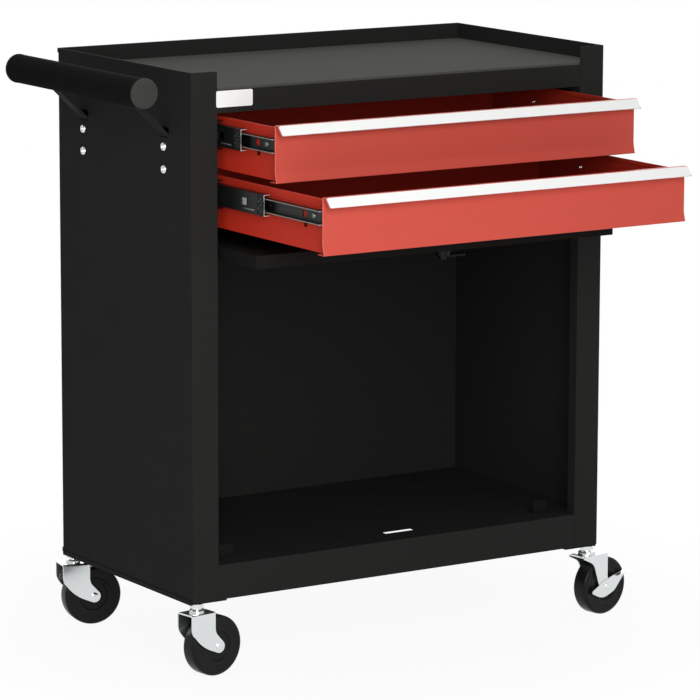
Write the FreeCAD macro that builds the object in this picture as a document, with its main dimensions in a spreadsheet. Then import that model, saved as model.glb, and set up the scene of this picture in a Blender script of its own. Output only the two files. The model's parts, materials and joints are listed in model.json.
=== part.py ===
import FreeCAD, Part
import math
import os
import re

import Sketcher

# Rolling tool cabinet with telescopic drawers, a receding door and swivel casters.
# Frame: millimetres, +Z up, -Y out of the front, origin at the middle of the mat on top.
# Every size below is a real one; each is named once and every fit is worked out from it.

os.makedirs("parts", exist_ok=True)
doc = FreeCAD.newDocument("tool_cabinet")
sheet_page = doc.addObject("Spreadsheet::Sheet", "Sheet")

SIZES = [
    # Cabinet shell
    ("body_width", 610.0, "outside of one side panel to the other"),
    ("body_depth", 330.0, "front face to rear face"),
    ("body_height", 652.0, "foot of the side panels to their top edge"),
    ("sheet", 1.0, "thickness of the folded steel"),
    ("seat", 0.3, "gap between a piece and what it rests on"),
    ("stile_width", 36.5, "front stile beside the opening"),
    ("stile_return", 16.0, "stile folded back into the cabinet"),
    ("stile_corner", 3.0, "rounded upper corner of the stile"),
    ("bend_radius", 0.9, "outer radius of a long fold"),
    ("top_rise", 20.0, "side walls above the mat"),
    ("mat_thickness", 3.0, "soft mat in the tray"),
    ("mat_corner", 6.0, "rounded corner of the mat"),
    ("top_rail_height", 27.4, "rail under the tray"),
    ("rail_flange", 12.0, "rail folded back at its foot"),
    ("bottom_rail_height", 43.5, "rail under the compartment"),
    ("back_hem_depth", 2.6, "rear panel hem, front to back"),
    ("back_hem_height", 6.0, "rear panel hem, up and down"),
    ("rim_drop", 3.6, "base rim below the side panels"),
    ("rim_proud", 1.3, "base rim outside the side panels"),
    ("rim_lap", 2.2, "base rim up over the side panels"),
    ("rim_setback", 4.0, "front end of the base rim behind the front face"),
    ("corner_plate_size", 49.0, "edge of a caster plate"),
    ("corner_plate_thickness", 2.0, "thickness of a caster plate"),
    ("bush_radius", 6.5, "threaded bush for the caster stem"),
    ("bush_height", 16.0, "threaded bush above its plate"),
    # Slide carriers, door guides and door stops
    ("carrier_flange", 14.0, "upper and lower fold of the slide carrier"),
    ("carrier_top_gap", 0.4, "slide carrier below the top rail"),
    ("guide_height", 20.0, "door guide channel, up and down"),
    ("guide_depth", 15.0, "door guide channel, side to side"),
    ("guide_wall", 1.2, "door guide wall"),
    ("guide_lip", 4.0, "door guide lip"),
    ("guide_setback", 2.5, "door guide outside the opening"),
    ("stop_width", 21.0, "door stop tab, side to side"),
    ("stop_height", 16.0, "door stop tab above the floor"),
    ("stop_foot", 16.0, "door stop foot, front to back"),
    ("stop_offset", 36.0, "door stop from the stile edge"),
    # Drawers and slides
    ("drawer_pitch", 72.4, "one drawer to the next"),
    ("drawer_gap", 2.0, "rail to the upper drawer front"),
    ("front_height", 69.0, "drawer front, top fold to foot"),
    ("front_side_gap", 5.6, "drawer front to the stile"),
    ("flare_height", 12.0, "flared foot of the drawer front"),
    ("flare_depth", 3.3, "how far the foot leans out"),
    ("foot_flange", 11.0, "flared foot folded back"),
    ("nose_flat", 4.7, "top fold before it turns down"),
    ("nose_reach", 14.6, "pull lip in front of the drawer face"),
    ("nose_drop", 11.0, "pull lip below the top fold"),
    ("flare_bend", 25.0, "soft bend where the foot of the front leans out"),
    ("trim_thickness", 1.1, "pale trim on the pull"),
    ("trim_start", 0.9, "trim below the top fold, down the pull"),
    ("trim_lap", 0.5, "trim past the edge of the pull lip"),
    ("trim_inset", 1.0, "trim short of the front's ends"),
    ("trim_corner", 2.5, "rounded corner of the trim"),
    ("box_wall", 0.9, "drawer box wall"),
    ("box_height", 64.0, "drawer box wall height"),
    ("box_length", 298.0, "drawer box front to back"),
    ("box_hem", 2.4, "folded top edge of the box"),
    ("box_hem_height", 5.0, "folded top edge, up and down"),
    ("upper_out", 123.5, "upper drawer pulled out"),
    ("lower_out", 229.0, "lower drawer pulled out"),
    ("slide_thickness", 12.4, "slide, side to side"),
    ("slide_drop", 25.2, "slide centre below the top of the front"),
    ("slide_length", 300.0, "fixed slide member"),
    ("inner_setback", 4.0, "drawer member behind the drawer front"),
    ("slide_front", 6.0, "fixed member behind the front face"),
    ("outer_height", 35.0, "fixed member, up and down"),
    ("middle_height", 26.0, "travelling member, up and down"),
    ("inner_height", 17.0, "drawer member, up and down"),
    ("member_wall", 1.2, "slide member wall"),
    ("middle_length", 280.0, "travelling member"),
    ("middle_front", 11.0, "travelling member behind the front face when shut"),
    ("inner_length", 288.0, "drawer member"),
    ("cage_length", 90.0, "ball cage"),
    ("cage_front", 110.0, "ball cage behind the front face when shut"),
    ("cage_web", 0.6, "ball cage web"),
    ("race_gap", 0.05, "running clearance between slide pieces"),
    ("lock_hole", 9.5, "round hole near the front of the drawer member"),
    ("lock_place", 44.0, "that hole behind the member's end"),
    ("screw_hole", 4.2, "drawer screw's hole"),
    ("screw_front", 22.0, "first drawer screw behind the member's end"),
    ("screw_rear", 200.0, "second drawer screw behind the member's end"),
    ("pilot_hole", 3.2, "spare hole of the drawer member"),
    ("pilot_place", 120.0, "spare hole behind the member's end"),
    ("fixing_hole", 4.4, "fixed member's screw holes"),
    ("fixing_front", 35.0, "first hole of the fixed member"),
    ("fixing_rear", 60.0, "last hole of the fixed member from its rear end"),
    ("access_place", 45.0, "access opening of the travelling member"),
    ("access_length", 14.0, "access opening, front to back"),
    ("access_height", 9.0, "access opening, up and down"),
    ("latch_hole", 3.6, "small hole of the travelling member"),
    ("latch_place", 14.0, "small hole behind the travelling member's end"),
    ("notch_length", 8.0, "square hole in the drawer wall, front to back"),
    ("notch_height", 6.0, "square hole in the drawer wall, up and down"),
    ("notch_place", 49.5, "square hole behind the drawer front"),
    ("notch_drop", 13.0, "square hole below the slide's centre"),
    # Receding door
    ("door_side_gap", 5.0, "door to the stile, each side"),
    ("door_depth", 16.6, "door edge thickness"),
    ("door_lip", 12.0, "door edge folded inward"),
    ("door_drop", 28.0, "door pivot below the lower drawer front"),
    ("door_floor_gap", 1.7, "shut door above the compartment floor"),
    ("door_rear_gap", 3.0, "stowed door to the rear panel"),
    ("pivot_inset", 22.8, "door pivot from its upper edge"),
    ("door_recess", 16.2, "shut door behind the front face"),
    ("pin_radius", 4.0, "stub pin on the door shoe"),
    ("pin_clearance", 0.05, "running clearance round a pin"),
    ("shoe_length", 34.0, "door shoe in its guide"),
    ("shoe_clearance", 0.1, "door shoe to its guide"),
    ("lock_side", 20.0, "lock to the right of the middle"),
    ("lock_edge", 23.0, "lock from the door's lower edge"),
    ("lock_radius", 9.3, "lock barrel"),
    ("lock_flange", 12.0, "lock face ring"),
    ("lock_length", 25.0, "lock barrel behind the door face"),
    ("cam_length", 31.0, "lock cam from its axis"),
    ("cam_width", 12.0, "lock cam across"),
    ("cam_thickness", 2.4, "lock cam plate"),
    ("catch_length", 43.0, "slot in the floor for the lock cam"),
    ("catch_width", 10.0, "slot in the floor, front to back"),
    ("catch_offset", 2.5, "slot centre from the lock axis"),
    # Handle
    ("handle_out", 60.3, "handle centre outside the side panel"),
    ("handle_drop", 21.7, "handle centre below the top edge"),
    ("grip_radius", 18.0, "grip outside"),
    ("grip_length", 313.0, "grip between its end caps"),
    ("core_radius", 11.0, "steel tube inside the grip"),
    ("core_wall", 1.5, "steel tube wall"),
    ("cap_radius", 18.3, "grip end cap"),
    ("cap_thickness", 3.0, "grip end cap"),
    ("cap_edge", 0.9, "grip end cap's broken edge"),
    ("plug_length", 6.0, "cap plug inside the tube"),
    ("bracket_angle", 44.3, "slope of the handle bracket, degrees"),
    ("bracket_width", 20.0, "handle bracket strip"),
    ("bracket_thickness", 3.0, "handle bracket strip"),
    ("bracket_spread", 201.0, "front bracket to rear bracket"),
    ("bracket_leg", 52.5, "bracket leg inside the panel"),
    ("bracket_slot_height", 13.0, "slot in the side panel"),
    ("screw_upper", 15.1, "upper screw below the slot centre"),
    ("screw_lower", 42.9, "lower screw below the slot centre"),
    ("screw_radius", 2.5, "handle screw shank"),
    ("screw_head_radius", 5.4, "handle screw head"),
    ("screw_head_height", 2.8, "handle screw head"),
    ("screw_length", 9.0, "handle screw shank length"),
    # Casters
    ("caster_height", 96.0, "ground to the foot of the side panels"),
    ("stem_inset_side", 10.0, "caster stem from the side panel"),
    ("stem_inset_end", 8.0, "caster stem from the front or rear"),
    ("stem_radius", 5.0, "caster stem"),
    ("nut_flats", 14.6, "stem nut across its flats"),
    ("nut_height", 5.4, "stem nut"),
    ("cup_radius", 9.6, "swivel cup on the fork"),
    ("braked_cup_radius", 11.8, "swivel cup of a braked caster"),
    ("head_radius", 8.4, "riveted stem head inside the fork"),
    ("head_height", 2.0, "riveted stem head"),
    ("fork_drop", 13.2, "fork plate below the side panels"),
    ("fork_wall", 2.0, "fork plate thickness"),
    ("fork_width", 30.0, "fork across its legs"),
    ("fork_lead", 18.6, "fork plate ahead of the stem"),
    ("fork_tail", 17.6, "fork plate behind the stem"),
    ("fork_eye", 8.0, "fork leg round the axle"),
    ("fork_bend", 3.0, "fork outer bend radius"),
    ("fork_throat", 18.5, "rear edge of the fork leg above the axle"),
    ("fork_chin", 18.0, "rounded front of the fork leg"),
    ("fork_chin_rise", 22.0, "foot of the leg's straight front above the axle"),
    ("fork_sweep", 60.0, "rounded underside of the fork leg"),
    ("fork_belly", 3.0, "lowest bend of the leg ahead of the stem"),
    ("fork_belly_rise", 2.5, "lowest bend of the leg above the axle"),
    ("braked_tail", 24.0, "braked fork's plate behind the stem"),
    ("braked_shoulder", 3.5, "braked fork's front corner below its plate"),
    ("braked_waist", 1.5, "hollow of the braked fork ahead of the stem"),
    ("braked_waist_drop", 11.5, "hollow of the braked fork below its plate"),
    ("braked_hollow", 16.0, "radius of that hollow"),
    ("braked_toe", 9.0, "front of the braked leg at the axle, behind the stem"),
    ("caster_trail", 23.8, "axle behind the stem"),
    ("wheel_radius", 38.0, "wheel tread radius"),
    ("wheel_width", 23.0, "wheel across its tread"),
    ("wheel_shoulder", 4.0, "rounded tread shoulder"),
    ("rim_radius", 21.5, "raised ring on the wheel face"),
    ("hub_radius", 10.0, "wheel hub"),
    ("rim_recess", 1.6, "wheel face inside its ring"),
    ("axle_radius", 4.0, "axle"),
    ("axle_head_radius", 5.0, "axle rivet head"),
    ("axle_head_height", 1.8, "axle rivet head"),
    ("swivel_front_left", 8.0, "degrees the fork trails round from +X"),
    ("swivel_rear_left", -9.4, "degrees the fork trails round from +X"),
    ("swivel_front_right", 9.5, "degrees the fork trails round from +X"),
    ("swivel_rear_right", 90.0, "degrees the fork trails round from +X"),
    ("pedal_thickness", 1.6, "brake pedal leaf"),
    ("pedal_front", 40.0, "brake pedal ahead of the axle, before its tip is rounded"),
    ("pedal_back", 32.0, "brake pedal behind the axle, before its tip is rounded"),
    ("pedal_tip", 6.6, "brake pedal's tips above its middle line"),
    ("pedal_belly", 10.6, "brake pedal below its middle line"),
    ("pedal_brow", 10.0, "brake pedal above its middle line"),
    ("pedal_rise", 19.3, "degrees the pedal leans up"),
    ("pedal_lip", 6.0, "brake pedal tread folded outward"),
]

for row, (alias, value, words) in enumerate(SIZES, start=1):
    sheet_page.set("A" + str(row), words)
    sheet_page.set("B" + str(row), str(value))
    sheet_page.setAlias("B" + str(row), alias)
doc.recompute()

WORDS = {alias for alias, value, words in SIZES}

# Places that several pieces share
FRONT = "(-body_depth / 2)"
BACK = "(body_depth / 2)"
TOP = "top_rise"
FOOT = "(top_rise - body_height)"
FLOOR = "(top_rise - body_height + bottom_rail_height)"
SIDE_IN = "(body_width / 2 - sheet)"
STILE_IN = "(body_width / 2 - stile_width)"
BACK_IN = "(body_depth / 2 - sheet)"
TRAY_TOP = "(-mat_thickness - seat)"
RAIL_FOOT = "(-mat_thickness - seat - top_rail_height)"
UPPER_TOP = "(-mat_thickness - seat - top_rail_height - drawer_gap)"
LOWER_TOP = "(-mat_thickness - seat - top_rail_height - drawer_gap - drawer_pitch)"
PIVOT_HEIGHT = "(" + LOWER_TOP + " - front_height - door_drop)"
DOOR_BACK = "(body_depth / 2 - sheet - door_rear_gap)"
DOOR_LENGTH = "(" + PIVOT_HEIGHT + " - " + FLOOR + " - door_floor_gap + pivot_inset)"
DOOR_HALF = "(body_width / 2 - stile_width - door_side_gap)"
PIVOT_BACK = "(" + DOOR_BACK + " - pivot_inset)"
HANDLE_X = "(-body_width / 2 - handle_out)"
HANDLE_Z = "(top_rise - handle_drop)"
SLOT_Z = "(top_rise - handle_drop - handle_out * tan(bracket_angle))"
FORK_TOP = "(" + FOOT + " - fork_drop)"
AXLE_Z = "(" + FOOT + " - caster_height + wheel_radius)"
FORK_IN = "(fork_width / 2 - fork_wall)"

FINISHED = []
UP = FreeCAD.Vector(0, 0, 1)
ALONG = FreeCAD.Vector(0, 1, 0)


def linked(formula):
    """Return the formula with every named size read from the sheet."""
    def point_at(match):
        word = match.group(0)
        return "Sheet." + word if word in WORDS else word
    return re.sub(r"[A-Za-z_][A-Za-z_0-9]*", point_at, str(formula))


def bind(item, path, formula):
    """Tie one property of an object to named sizes."""
    item.setExpression(path, linked(formula))


def origin_plane(body, role):
    """Return one of the body's own origin planes."""
    for feature in body.Origin.OriginFeatures:
        if feature.Role == role:
            return feature
    raise ValueError("no plane " + role)


def new_body(name, keep=True):
    """Start a body; keep marks it as a finished piece of the cabinet."""
    body = doc.addObject("PartDesign::Body", name)
    body.Label = name
    if keep:
        FINISHED.append(body)
    return body


def new_sketch(body, role, height, facing=1):
    """Attach an empty sketch to an origin plane, shifted along its normal."""
    sketch = body.newObject("Sketcher::SketchObject", body.Name + "_sketch")
    sketch.AttachmentSupport = [(origin_plane(body, role), "")]
    sketch.MapMode = "FlatFace"
    sign = "-" if role == "XZ_Plane" else ""
    bind(sketch, "AttachmentOffset.Base.z", sign + "(" + str(height) + ")")
    return sketch


def draw_outline(sketch, corners):
    """Draw a closed outline whose corners are pinned to named sizes."""
    first = sketch.GeometryCount
    count = len(corners)
    ring = []
    for index in range(count):
        angle = 2 * math.pi * index / count
        ring.append(FreeCAD.Vector(10 * math.cos(angle), 10 * math.sin(angle), 0))
    for index in range(count):
        line = Part.LineSegment(ring[index], ring[(index + 1) % count])
        sketch.addGeometry(line, False)
    for index in range(count):
        near = first + index
        far = first + (index + 1) % count
        sketch.addConstraint(Sketcher.Constraint("Coincident", near, 2, far, 1))
    for index, (across, up) in enumerate(corners):
        spot = first + index
        rule = Sketcher.Constraint("DistanceX", -1, 1, spot, 1, 1.0)
        number = sketch.addConstraint(rule)
        bind(sketch, "Constraints[" + str(number) + "]", across)
        rule = Sketcher.Constraint("DistanceY", -1, 1, spot, 1, 1.0)
        number = sketch.addConstraint(rule)
        bind(sketch, "Constraints[" + str(number) + "]", up)


def draw_circle(sketch, centre, radius):
    """Draw a circle whose centre and radius are pinned to named sizes."""
    spot = sketch.addGeometry(Part.Circle(FreeCAD.Vector(1, 1, 0), FreeCAD.Vector(0, 0, 1), 2), False)
    number = sketch.addConstraint(Sketcher.Constraint("DistanceX", -1, 1, spot, 3, 1.0))
    bind(sketch, "Constraints[" + str(number) + "]", centre[0])
    number = sketch.addConstraint(Sketcher.Constraint("DistanceY", -1, 1, spot, 3, 1.0))
    bind(sketch, "Constraints[" + str(number) + "]", centre[1])
    number = sketch.addConstraint(Sketcher.Constraint("Radius", spot, 2.0))
    bind(sketch, "Constraints[" + str(number) + "]", radius)


def add_block(body, role, corners, low, high, rings=None):
    """Pad an outline between two heights along a plane's axis."""
    start = high if role == "XZ_Plane" else low
    sketch = new_sketch(body, role, start)
    if corners:
        draw_outline(sketch, corners)
    for centre, radius in rings or []:
        draw_circle(sketch, centre, radius)
    pad = body.newObject("PartDesign::Pad", body.Name + "_pad")
    pad.Profile = (sketch, [""])
    bind(pad, "Length", "(" + str(high) + ") - (" + str(low) + ")")
    body.Tip = pad
    sketch.Visibility = False
    return pad


def cut_block(body, role, corners, low, high, rings=None):
    """Cut an outline out between two heights along a plane's axis."""
    start = low if role == "XZ_Plane" else high
    sketch = new_sketch(body, role, start)
    if corners:
        draw_outline(sketch, corners)
    for centre, radius in rings or []:
        draw_circle(sketch, centre, radius)
    pocket = body.newObject("PartDesign::Pocket", body.Name + "_pocket")
    pocket.Profile = (sketch, [""])
    bind(pocket, "Length", "(" + str(high) + ") - (" + str(low) + ")")
    body.Tip = pocket
    sketch.Visibility = False
    return pocket


def add_turned(body, role, profile, axis, offset=None):
    """Revolve an outline about an axis of its own sketch."""
    sketch = body.newObject("Sketcher::SketchObject", body.Name + "_profile")
    sketch.AttachmentSupport = [(origin_plane(body, role), "")]
    sketch.MapMode = "FlatFace"
    for letter, formula in zip("xyz", offset or ("0", "0", "0")):
        bind(sketch, "AttachmentOffset.Base." + letter, formula)
    draw_outline(sketch, profile)
    turned = body.newObject("PartDesign::Revolution", body.Name + "_turned")
    turned.Profile = (sketch, [""])
    turned.ReferenceAxis = (sketch, [axis])
    turned.Angle = 360.0
    body.Tip = turned
    sketch.Visibility = False
    return turned


def rectangle(x_low, y_low, x_high, y_high):
    """Return the four corners of a rectangle."""
    return [(x_low, y_low), (x_high, y_low), (x_high, y_high), (x_low, y_high)]


def place(body, x="0", y="0", z="0"):
    """Put a finished piece at a place made of named sizes."""
    bind(body, "Placement.Base.x", x)
    bind(body, "Placement.Base.y", y)
    bind(body, "Placement.Base.z", z)


def turn(body, axis, formula):
    """Turn a piece about one axis by a named angle."""
    base = body.Placement.Base
    body.Placement = FreeCAD.Placement(base, FreeCAD.Rotation(axis, 1.0))
    bind(body, "Placement.Rotation.Angle", formula)


def times(sign, formula):
    """Mirror a formula across the middle of the cabinet."""
    return "(" + str(sign) + " * (" + formula + "))"


def edges_where(body, test):
    """Name the straight edges of the body's tip whose end points pass a test."""
    doc.recompute()
    names = []
    for index, edge in enumerate(body.Tip.Shape.Edges, start=1):
        if len(edge.Vertexes) == 2 and isinstance(edge.Curve, Part.Line):
            if test(edge.Vertexes[0].Point, edge.Vertexes[1].Point):
                names.append("Edge" + str(index))
    return names


def round_edges(body, names, radius):
    """Round the named edges of the body's tip."""
    base = body.Tip
    fillet = body.newObject("PartDesign::Fillet", body.Name + "_fillet")
    fillet.Base = (base, names)
    bind(fillet, "Radius", radius)
    body.Tip = fillet
    return fillet


def round_corners(body, feature, corners, radius):
    """Round the edges that rise from chosen corners of a block's outline."""
    doc.recompute()
    sketch = feature.Profile[0]
    aim = sketch.Placement.Rotation.multVec(UP)
    names = []
    for corner in corners:
        spot = sketch.Placement.multVec(sketch.Geometry[corner].StartPoint)
        for index, edge in enumerate(body.Tip.Shape.Edges, start=1):
            if not isinstance(edge.Curve, Part.Line):
                continue
            along = edge.Curve.Direction.cross(aim).Length < 1e-6
            if along and edge.Vertexes[0].Point.distanceToLine(spot, aim) < 0.01:
                names.append("Edge" + str(index))
    return round_edges(body, names, radius)


def size(alias):
    """Read a named size as a number."""
    return float(sheet_page.get(alias))


def near(first, second, slack=0.02):
    """Tell whether two numbers agree."""
    return abs(first - second) < slack


SIDES = (("left", -1), ("right", 1))


# Side panels: wall, front stile and the stile's return, folded from one sheet
def side_panel(side, sign):
    """Build one side panel; the left one has the slots and holes for the handle."""
    body = new_body("side_panel_" + side)
    section = [
        (times(sign, "body_width / 2"), FRONT),
        (times(sign, "body_width / 2"), BACK_IN + " - seat"),
        (times(sign, SIDE_IN), BACK_IN + " - seat"),
        (times(sign, SIDE_IN), FRONT + " + sheet"),
        (times(sign, STILE_IN + " + sheet"), FRONT + " + sheet"),
        (times(sign, STILE_IN + " + sheet"), FRONT + " + stile_return"),
        (times(sign, STILE_IN), FRONT + " + stile_return"),
        (times(sign, STILE_IN), FRONT),
    ]
    add_block(body, "XY_Plane", section, FOOT, TOP)
    clearing = rectangle(
        times(sign, STILE_IN + " - 1"), FRONT + " + sheet",
        times(sign, STILE_IN + " + sheet + 1"), FRONT + " + stile_return + 1")
    cut_block(body, "XY_Plane", clearing, RAIL_FOOT, TOP + " + 1")
    if side == "left":
        for place_y in ("-bracket_spread / 2", "bracket_spread / 2"):
            slot = rectangle(
                place_y + " - bracket_width / 2 - 1", SLOT_Z + " - 4",
                place_y + " + bracket_width / 2 + 1", SLOT_Z + " - 4 + bracket_slot_height")
            holes = [
                ((place_y, SLOT_Z + " - screw_upper"), "screw_radius + 0.3"),
                ((place_y, SLOT_Z + " - screw_lower"), "screw_radius + 0.3"),
            ]
            cut_block(body, "YZ_Plane", slot, "-body_width / 2 - 1", "-" + SIDE_IN + " + 1", holes)
    top = size("top_rise")
    inner = size("body_width") / 2 - size("stile_width")
    outer = size("body_width") / 2
    front = -size("body_depth") / 2
    corner = edges_where(body, lambda a, b: near(a.z, top) and near(b.z, top)
                         and near(abs(a.x), inner) and near(abs(b.x), inner))
    round_edges(body, corner, "stile_corner")
    fold = edges_where(body, lambda a, b: near(abs(a.x), outer) and near(abs(b.x), outer)
                       and near(a.y, front) and near(b.y, front))
    round_edges(body, fold, "bend_radius")
    return body


for side, sign in SIDES:
    side_panel(side, sign)


# Rear panel with a hem folded back along its top and its foot
back_panel = new_body("back_panel")
add_block(back_panel, "XZ_Plane",
          rectangle("-body_width / 2", FOOT, "body_width / 2", TOP), BACK_IN, BACK)
add_block(back_panel, "XZ_Plane",
          rectangle("-body_width / 2", TOP + " - back_hem_height", "body_width / 2", TOP),
          BACK_IN + " + sheet / 2", BACK + " + back_hem_depth")
add_block(back_panel, "XZ_Plane",
          rectangle("-body_width / 2", FOOT, "body_width / 2", FOOT + " + back_hem_height"),
          BACK_IN + " + sheet / 2", BACK + " + back_hem_depth")


# Base pan: compartment floor, front rail and the rim that laps the side panels
base_pan = new_body("base_pan")
floor_back = FRONT + " + stile_return + seat"
rail_section = [
    (FRONT, FOOT),
    (FRONT + " + rail_flange", FOOT),
    (FRONT + " + rail_flange", FOOT + " + sheet"),
    (FRONT + " + sheet", FOOT + " + sheet"),
    (FRONT + " + sheet", FLOOR + " - sheet"),
    (floor_back + " + 2", FLOOR + " - sheet"),
    (floor_back + " + 2", FLOOR),
    (FRONT, FLOOR),
]
add_block(base_pan, "YZ_Plane", rail_section, "-" + STILE_IN + " + seat", STILE_IN + " - seat")
add_block(base_pan, "XY_Plane",
          rectangle("-" + SIDE_IN + " + seat", floor_back, SIDE_IN + " - seat", BACK_IN + " - seat"),
          FLOOR + " - sheet", FLOOR)
add_block(base_pan, "XZ_Plane",
          rectangle("-body_width / 2 + corner_plate_size", FOOT,
                    "body_width / 2 - corner_plate_size", FLOOR + " - sheet / 2"),
          BACK_IN + " - seat - sheet", BACK_IN + " - seat")
for side, sign in SIDES:
    skirt = [
        (times(sign, SIDE_IN + " - seat"), FLOOR + " - sheet / 2"),
        (times(sign, SIDE_IN + " - seat"), FOOT + " - seat"),
        (times(sign, "body_width / 2 + seat"), FOOT + " - seat"),
        (times(sign, "body_width / 2 + seat"), FOOT + " + rim_lap"),
        (times(sign, "body_width / 2 + rim_proud"), FOOT + " + rim_lap"),
        (times(sign, "body_width / 2 + rim_proud"), FOOT + " - rim_drop"),
        (times(sign, SIDE_IN + " - seat - sheet"), FOOT + " - rim_drop"),
        (times(sign, SIDE_IN + " - seat - sheet"), FLOOR + " - sheet / 2"),
    ]
    add_block(base_pan, "XZ_Plane", skirt, floor_back, BACK_IN + " - seat")
    rim = [
        (times(sign, SIDE_IN + " - seat - sheet"), FOOT + " - seat"),
        (times(sign, "body_width / 2 + seat"), FOOT + " - seat"),
        (times(sign, "body_width / 2 + seat"), FOOT + " + rim_lap"),
        (times(sign, "body_width / 2 + rim_proud"), FOOT + " + rim_lap"),
        (times(sign, "body_width / 2 + rim_proud"), FOOT + " - rim_drop"),
        (times(sign, SIDE_IN + " - seat - sheet"), FOOT + " - rim_drop"),
    ]
    add_block(base_pan, "XZ_Plane", rim, FRONT + " + rim_setback", floor_back + " + 1")
cam_line = FRONT + " + door_recess + lock_length + cam_thickness / 2"
catch_slot = rectangle("lock_side + catch_offset - catch_length / 2", cam_line + " - catch_width / 2",
                       "lock_side + catch_offset + catch_length / 2", cam_line + " + catch_width / 2")
cut_block(base_pan, "XY_Plane", catch_slot, FLOOR + " - sheet - 1", FLOOR + " + 1")


# Tray over the drawers, with its front rail
top_tray = new_body("top_tray")
tray_rail = [
    (FRONT, RAIL_FOOT),
    (FRONT + " + rail_flange", RAIL_FOOT),
    (FRONT + " + rail_flange", RAIL_FOOT + " + sheet"),
    (FRONT + " + sheet", RAIL_FOOT + " + sheet"),
    (FRONT + " + sheet", TRAY_TOP + " - sheet"),
    (FRONT + " + 4", TRAY_TOP + " - sheet"),
    (FRONT + " + 4", TRAY_TOP),
    (FRONT, TRAY_TOP),
]
add_block(top_tray, "YZ_Plane", tray_rail, "-" + STILE_IN + " + seat", STILE_IN + " - seat")
add_block(top_tray, "XY_Plane",
          rectangle("-" + SIDE_IN + " + seat", FRONT + " + sheet + seat",
                    SIDE_IN + " - seat", BACK_IN + " - seat"),
          TRAY_TOP + " - sheet", TRAY_TOP)
for side, sign in SIDES:
    add_block(top_tray, "XZ_Plane",
              rectangle(times(sign, SIDE_IN + " - seat - sheet"), TRAY_TOP + " - 14",
                        times(sign, SIDE_IN + " - seat"), TRAY_TOP + " - sheet / 2"),
              FRONT + " + stile_return + 4", BACK_IN + " - seat")


# Soft mat that fills the tray
top_mat = new_body("top_mat")
mat_edge = "(" + SIDE_IN + " - 1)"
mat_nose = "(" + STILE_IN + " - 1.5)"
mat_front = FRONT + " + 0.4"
mat_step = FRONT + " + sheet + 1"
mat_block = add_block(top_mat, "XY_Plane", [
    (times(-1, mat_nose), mat_front),
    (mat_nose, mat_front),
    (mat_nose, mat_step),
    (mat_edge, mat_step),
    (mat_edge, BACK_IN + " - 1"),
    (times(-1, mat_edge), BACK_IN + " - 1"),
    (times(-1, mat_edge), mat_step),
    (times(-1, mat_nose), mat_step),
], "-mat_thickness", "0")
round_corners(top_mat, mat_block, (4, 5), "mat_corner")


# Caster plates, each with a threaded bush for a stem
CORNERS = (
    ("front_left", -1, -1), ("rear_left", -1, 1),
    ("front_right", 1, -1), ("rear_right", 1, 1),
)


def stem_place(side, end):
    """Return where a caster stem stands."""
    return (times(side, "body_width / 2 - stem_inset_side"),
            times(end, "body_depth / 2 - stem_inset_end"))


plate_high = FOOT + " - seat"
plate_low = FOOT + " - seat - corner_plate_thickness"
corner_pieces = []
for corner, side, end in CORNERS:
    piece = new_body("caster_plate_" + corner, keep=False)
    stem_x, stem_y = stem_place(side, end)
    far_x = times(side, "body_width / 2 - corner_plate_size")
    near_x = times(side, SIDE_IN + " - seat - sheet - seat")
    near_y = times(end, "body_depth / 2 - sheet - seat")
    far_y = times(end, "body_depth / 2 - corner_plate_size")
    cut_x = times(side, "body_width / 2 - corner_plate_size + 16")
    cut_y = times(end, "body_depth / 2 - corner_plate_size + 16")
    add_block(piece, "XY_Plane",
              [(near_x, near_y), (far_x, near_y), (far_x, cut_y), (cut_x, far_y), (near_x, far_y)],
              plate_low, plate_high)
    add_block(piece, "XY_Plane", None, plate_high + " - 0.5", plate_high + " + bush_height",
              [((stem_x, stem_y), "bush_radius")])
    cut_block(piece, "XY_Plane", None, plate_low + " - 1", plate_high + " + bush_height + 1",
              [((stem_x, stem_y), "stem_radius + race_gap")])
    corner_pieces.append(piece)
doc.recompute()


def grouped(name, pieces):
    """Keep identical fixings together as one group of separate solids."""
    group = doc.addObject("Part::Compound", name)
    group.Label = name
    group.Links = pieces
    FINISHED.append(group)
    return group


grouped("corner_plates", corner_pieces)


# Caster stems: threaded stem, nut, swivel cup and riveted head
stems = []
BRAKED = ("front_right", "rear_right")
cup_low = FORK_TOP + " + race_gap"
nut_low = plate_low + " - seat - nut_height"
for corner, side, end in CORNERS:
    piece = new_body("stem_" + corner, keep=False)
    stem_x, stem_y = stem_place(side, end)
    cup = "braked_cup_radius" if corner in BRAKED else "cup_radius"
    profile = [
        ("0", FORK_TOP + " - fork_wall - race_gap - head_height"),
        ("stem_radius", FORK_TOP + " - fork_wall - race_gap - head_height"),
        ("head_radius", FORK_TOP + " - fork_wall - race_gap"),
        ("stem_radius", FORK_TOP + " - fork_wall - race_gap"),
        ("stem_radius", cup_low),
        (cup, cup_low),
        (cup, cup_low + " + 2.4"),
        (cup + " - 1.6", cup_low + " + 3.8"),
        ("stem_radius", cup_low + " + 3.8"),
        ("stem_radius", plate_high + " + bush_height"),
        ("0", plate_high + " + bush_height"),
    ]
    add_turned(piece, "XZ_Plane", profile, "V_Axis")
    half = "nut_flats / 2"
    point = "nut_flats / 2 / cos(30)"
    hexagon = [
        ("0", point), (half, point + " * 0.5"), (half, "-" + point + " * 0.5"),
        ("0", "-" + point), ("-" + half, "-" + point + " * 0.5"), ("-" + half, point + " * 0.5"),
    ]
    add_block(piece, "XY_Plane", hexagon, nut_low, nut_low + " + nut_height")
    place(piece, stem_x, stem_y, "0")
    stems.append(piece)
grouped("caster_stems", stems)


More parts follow.
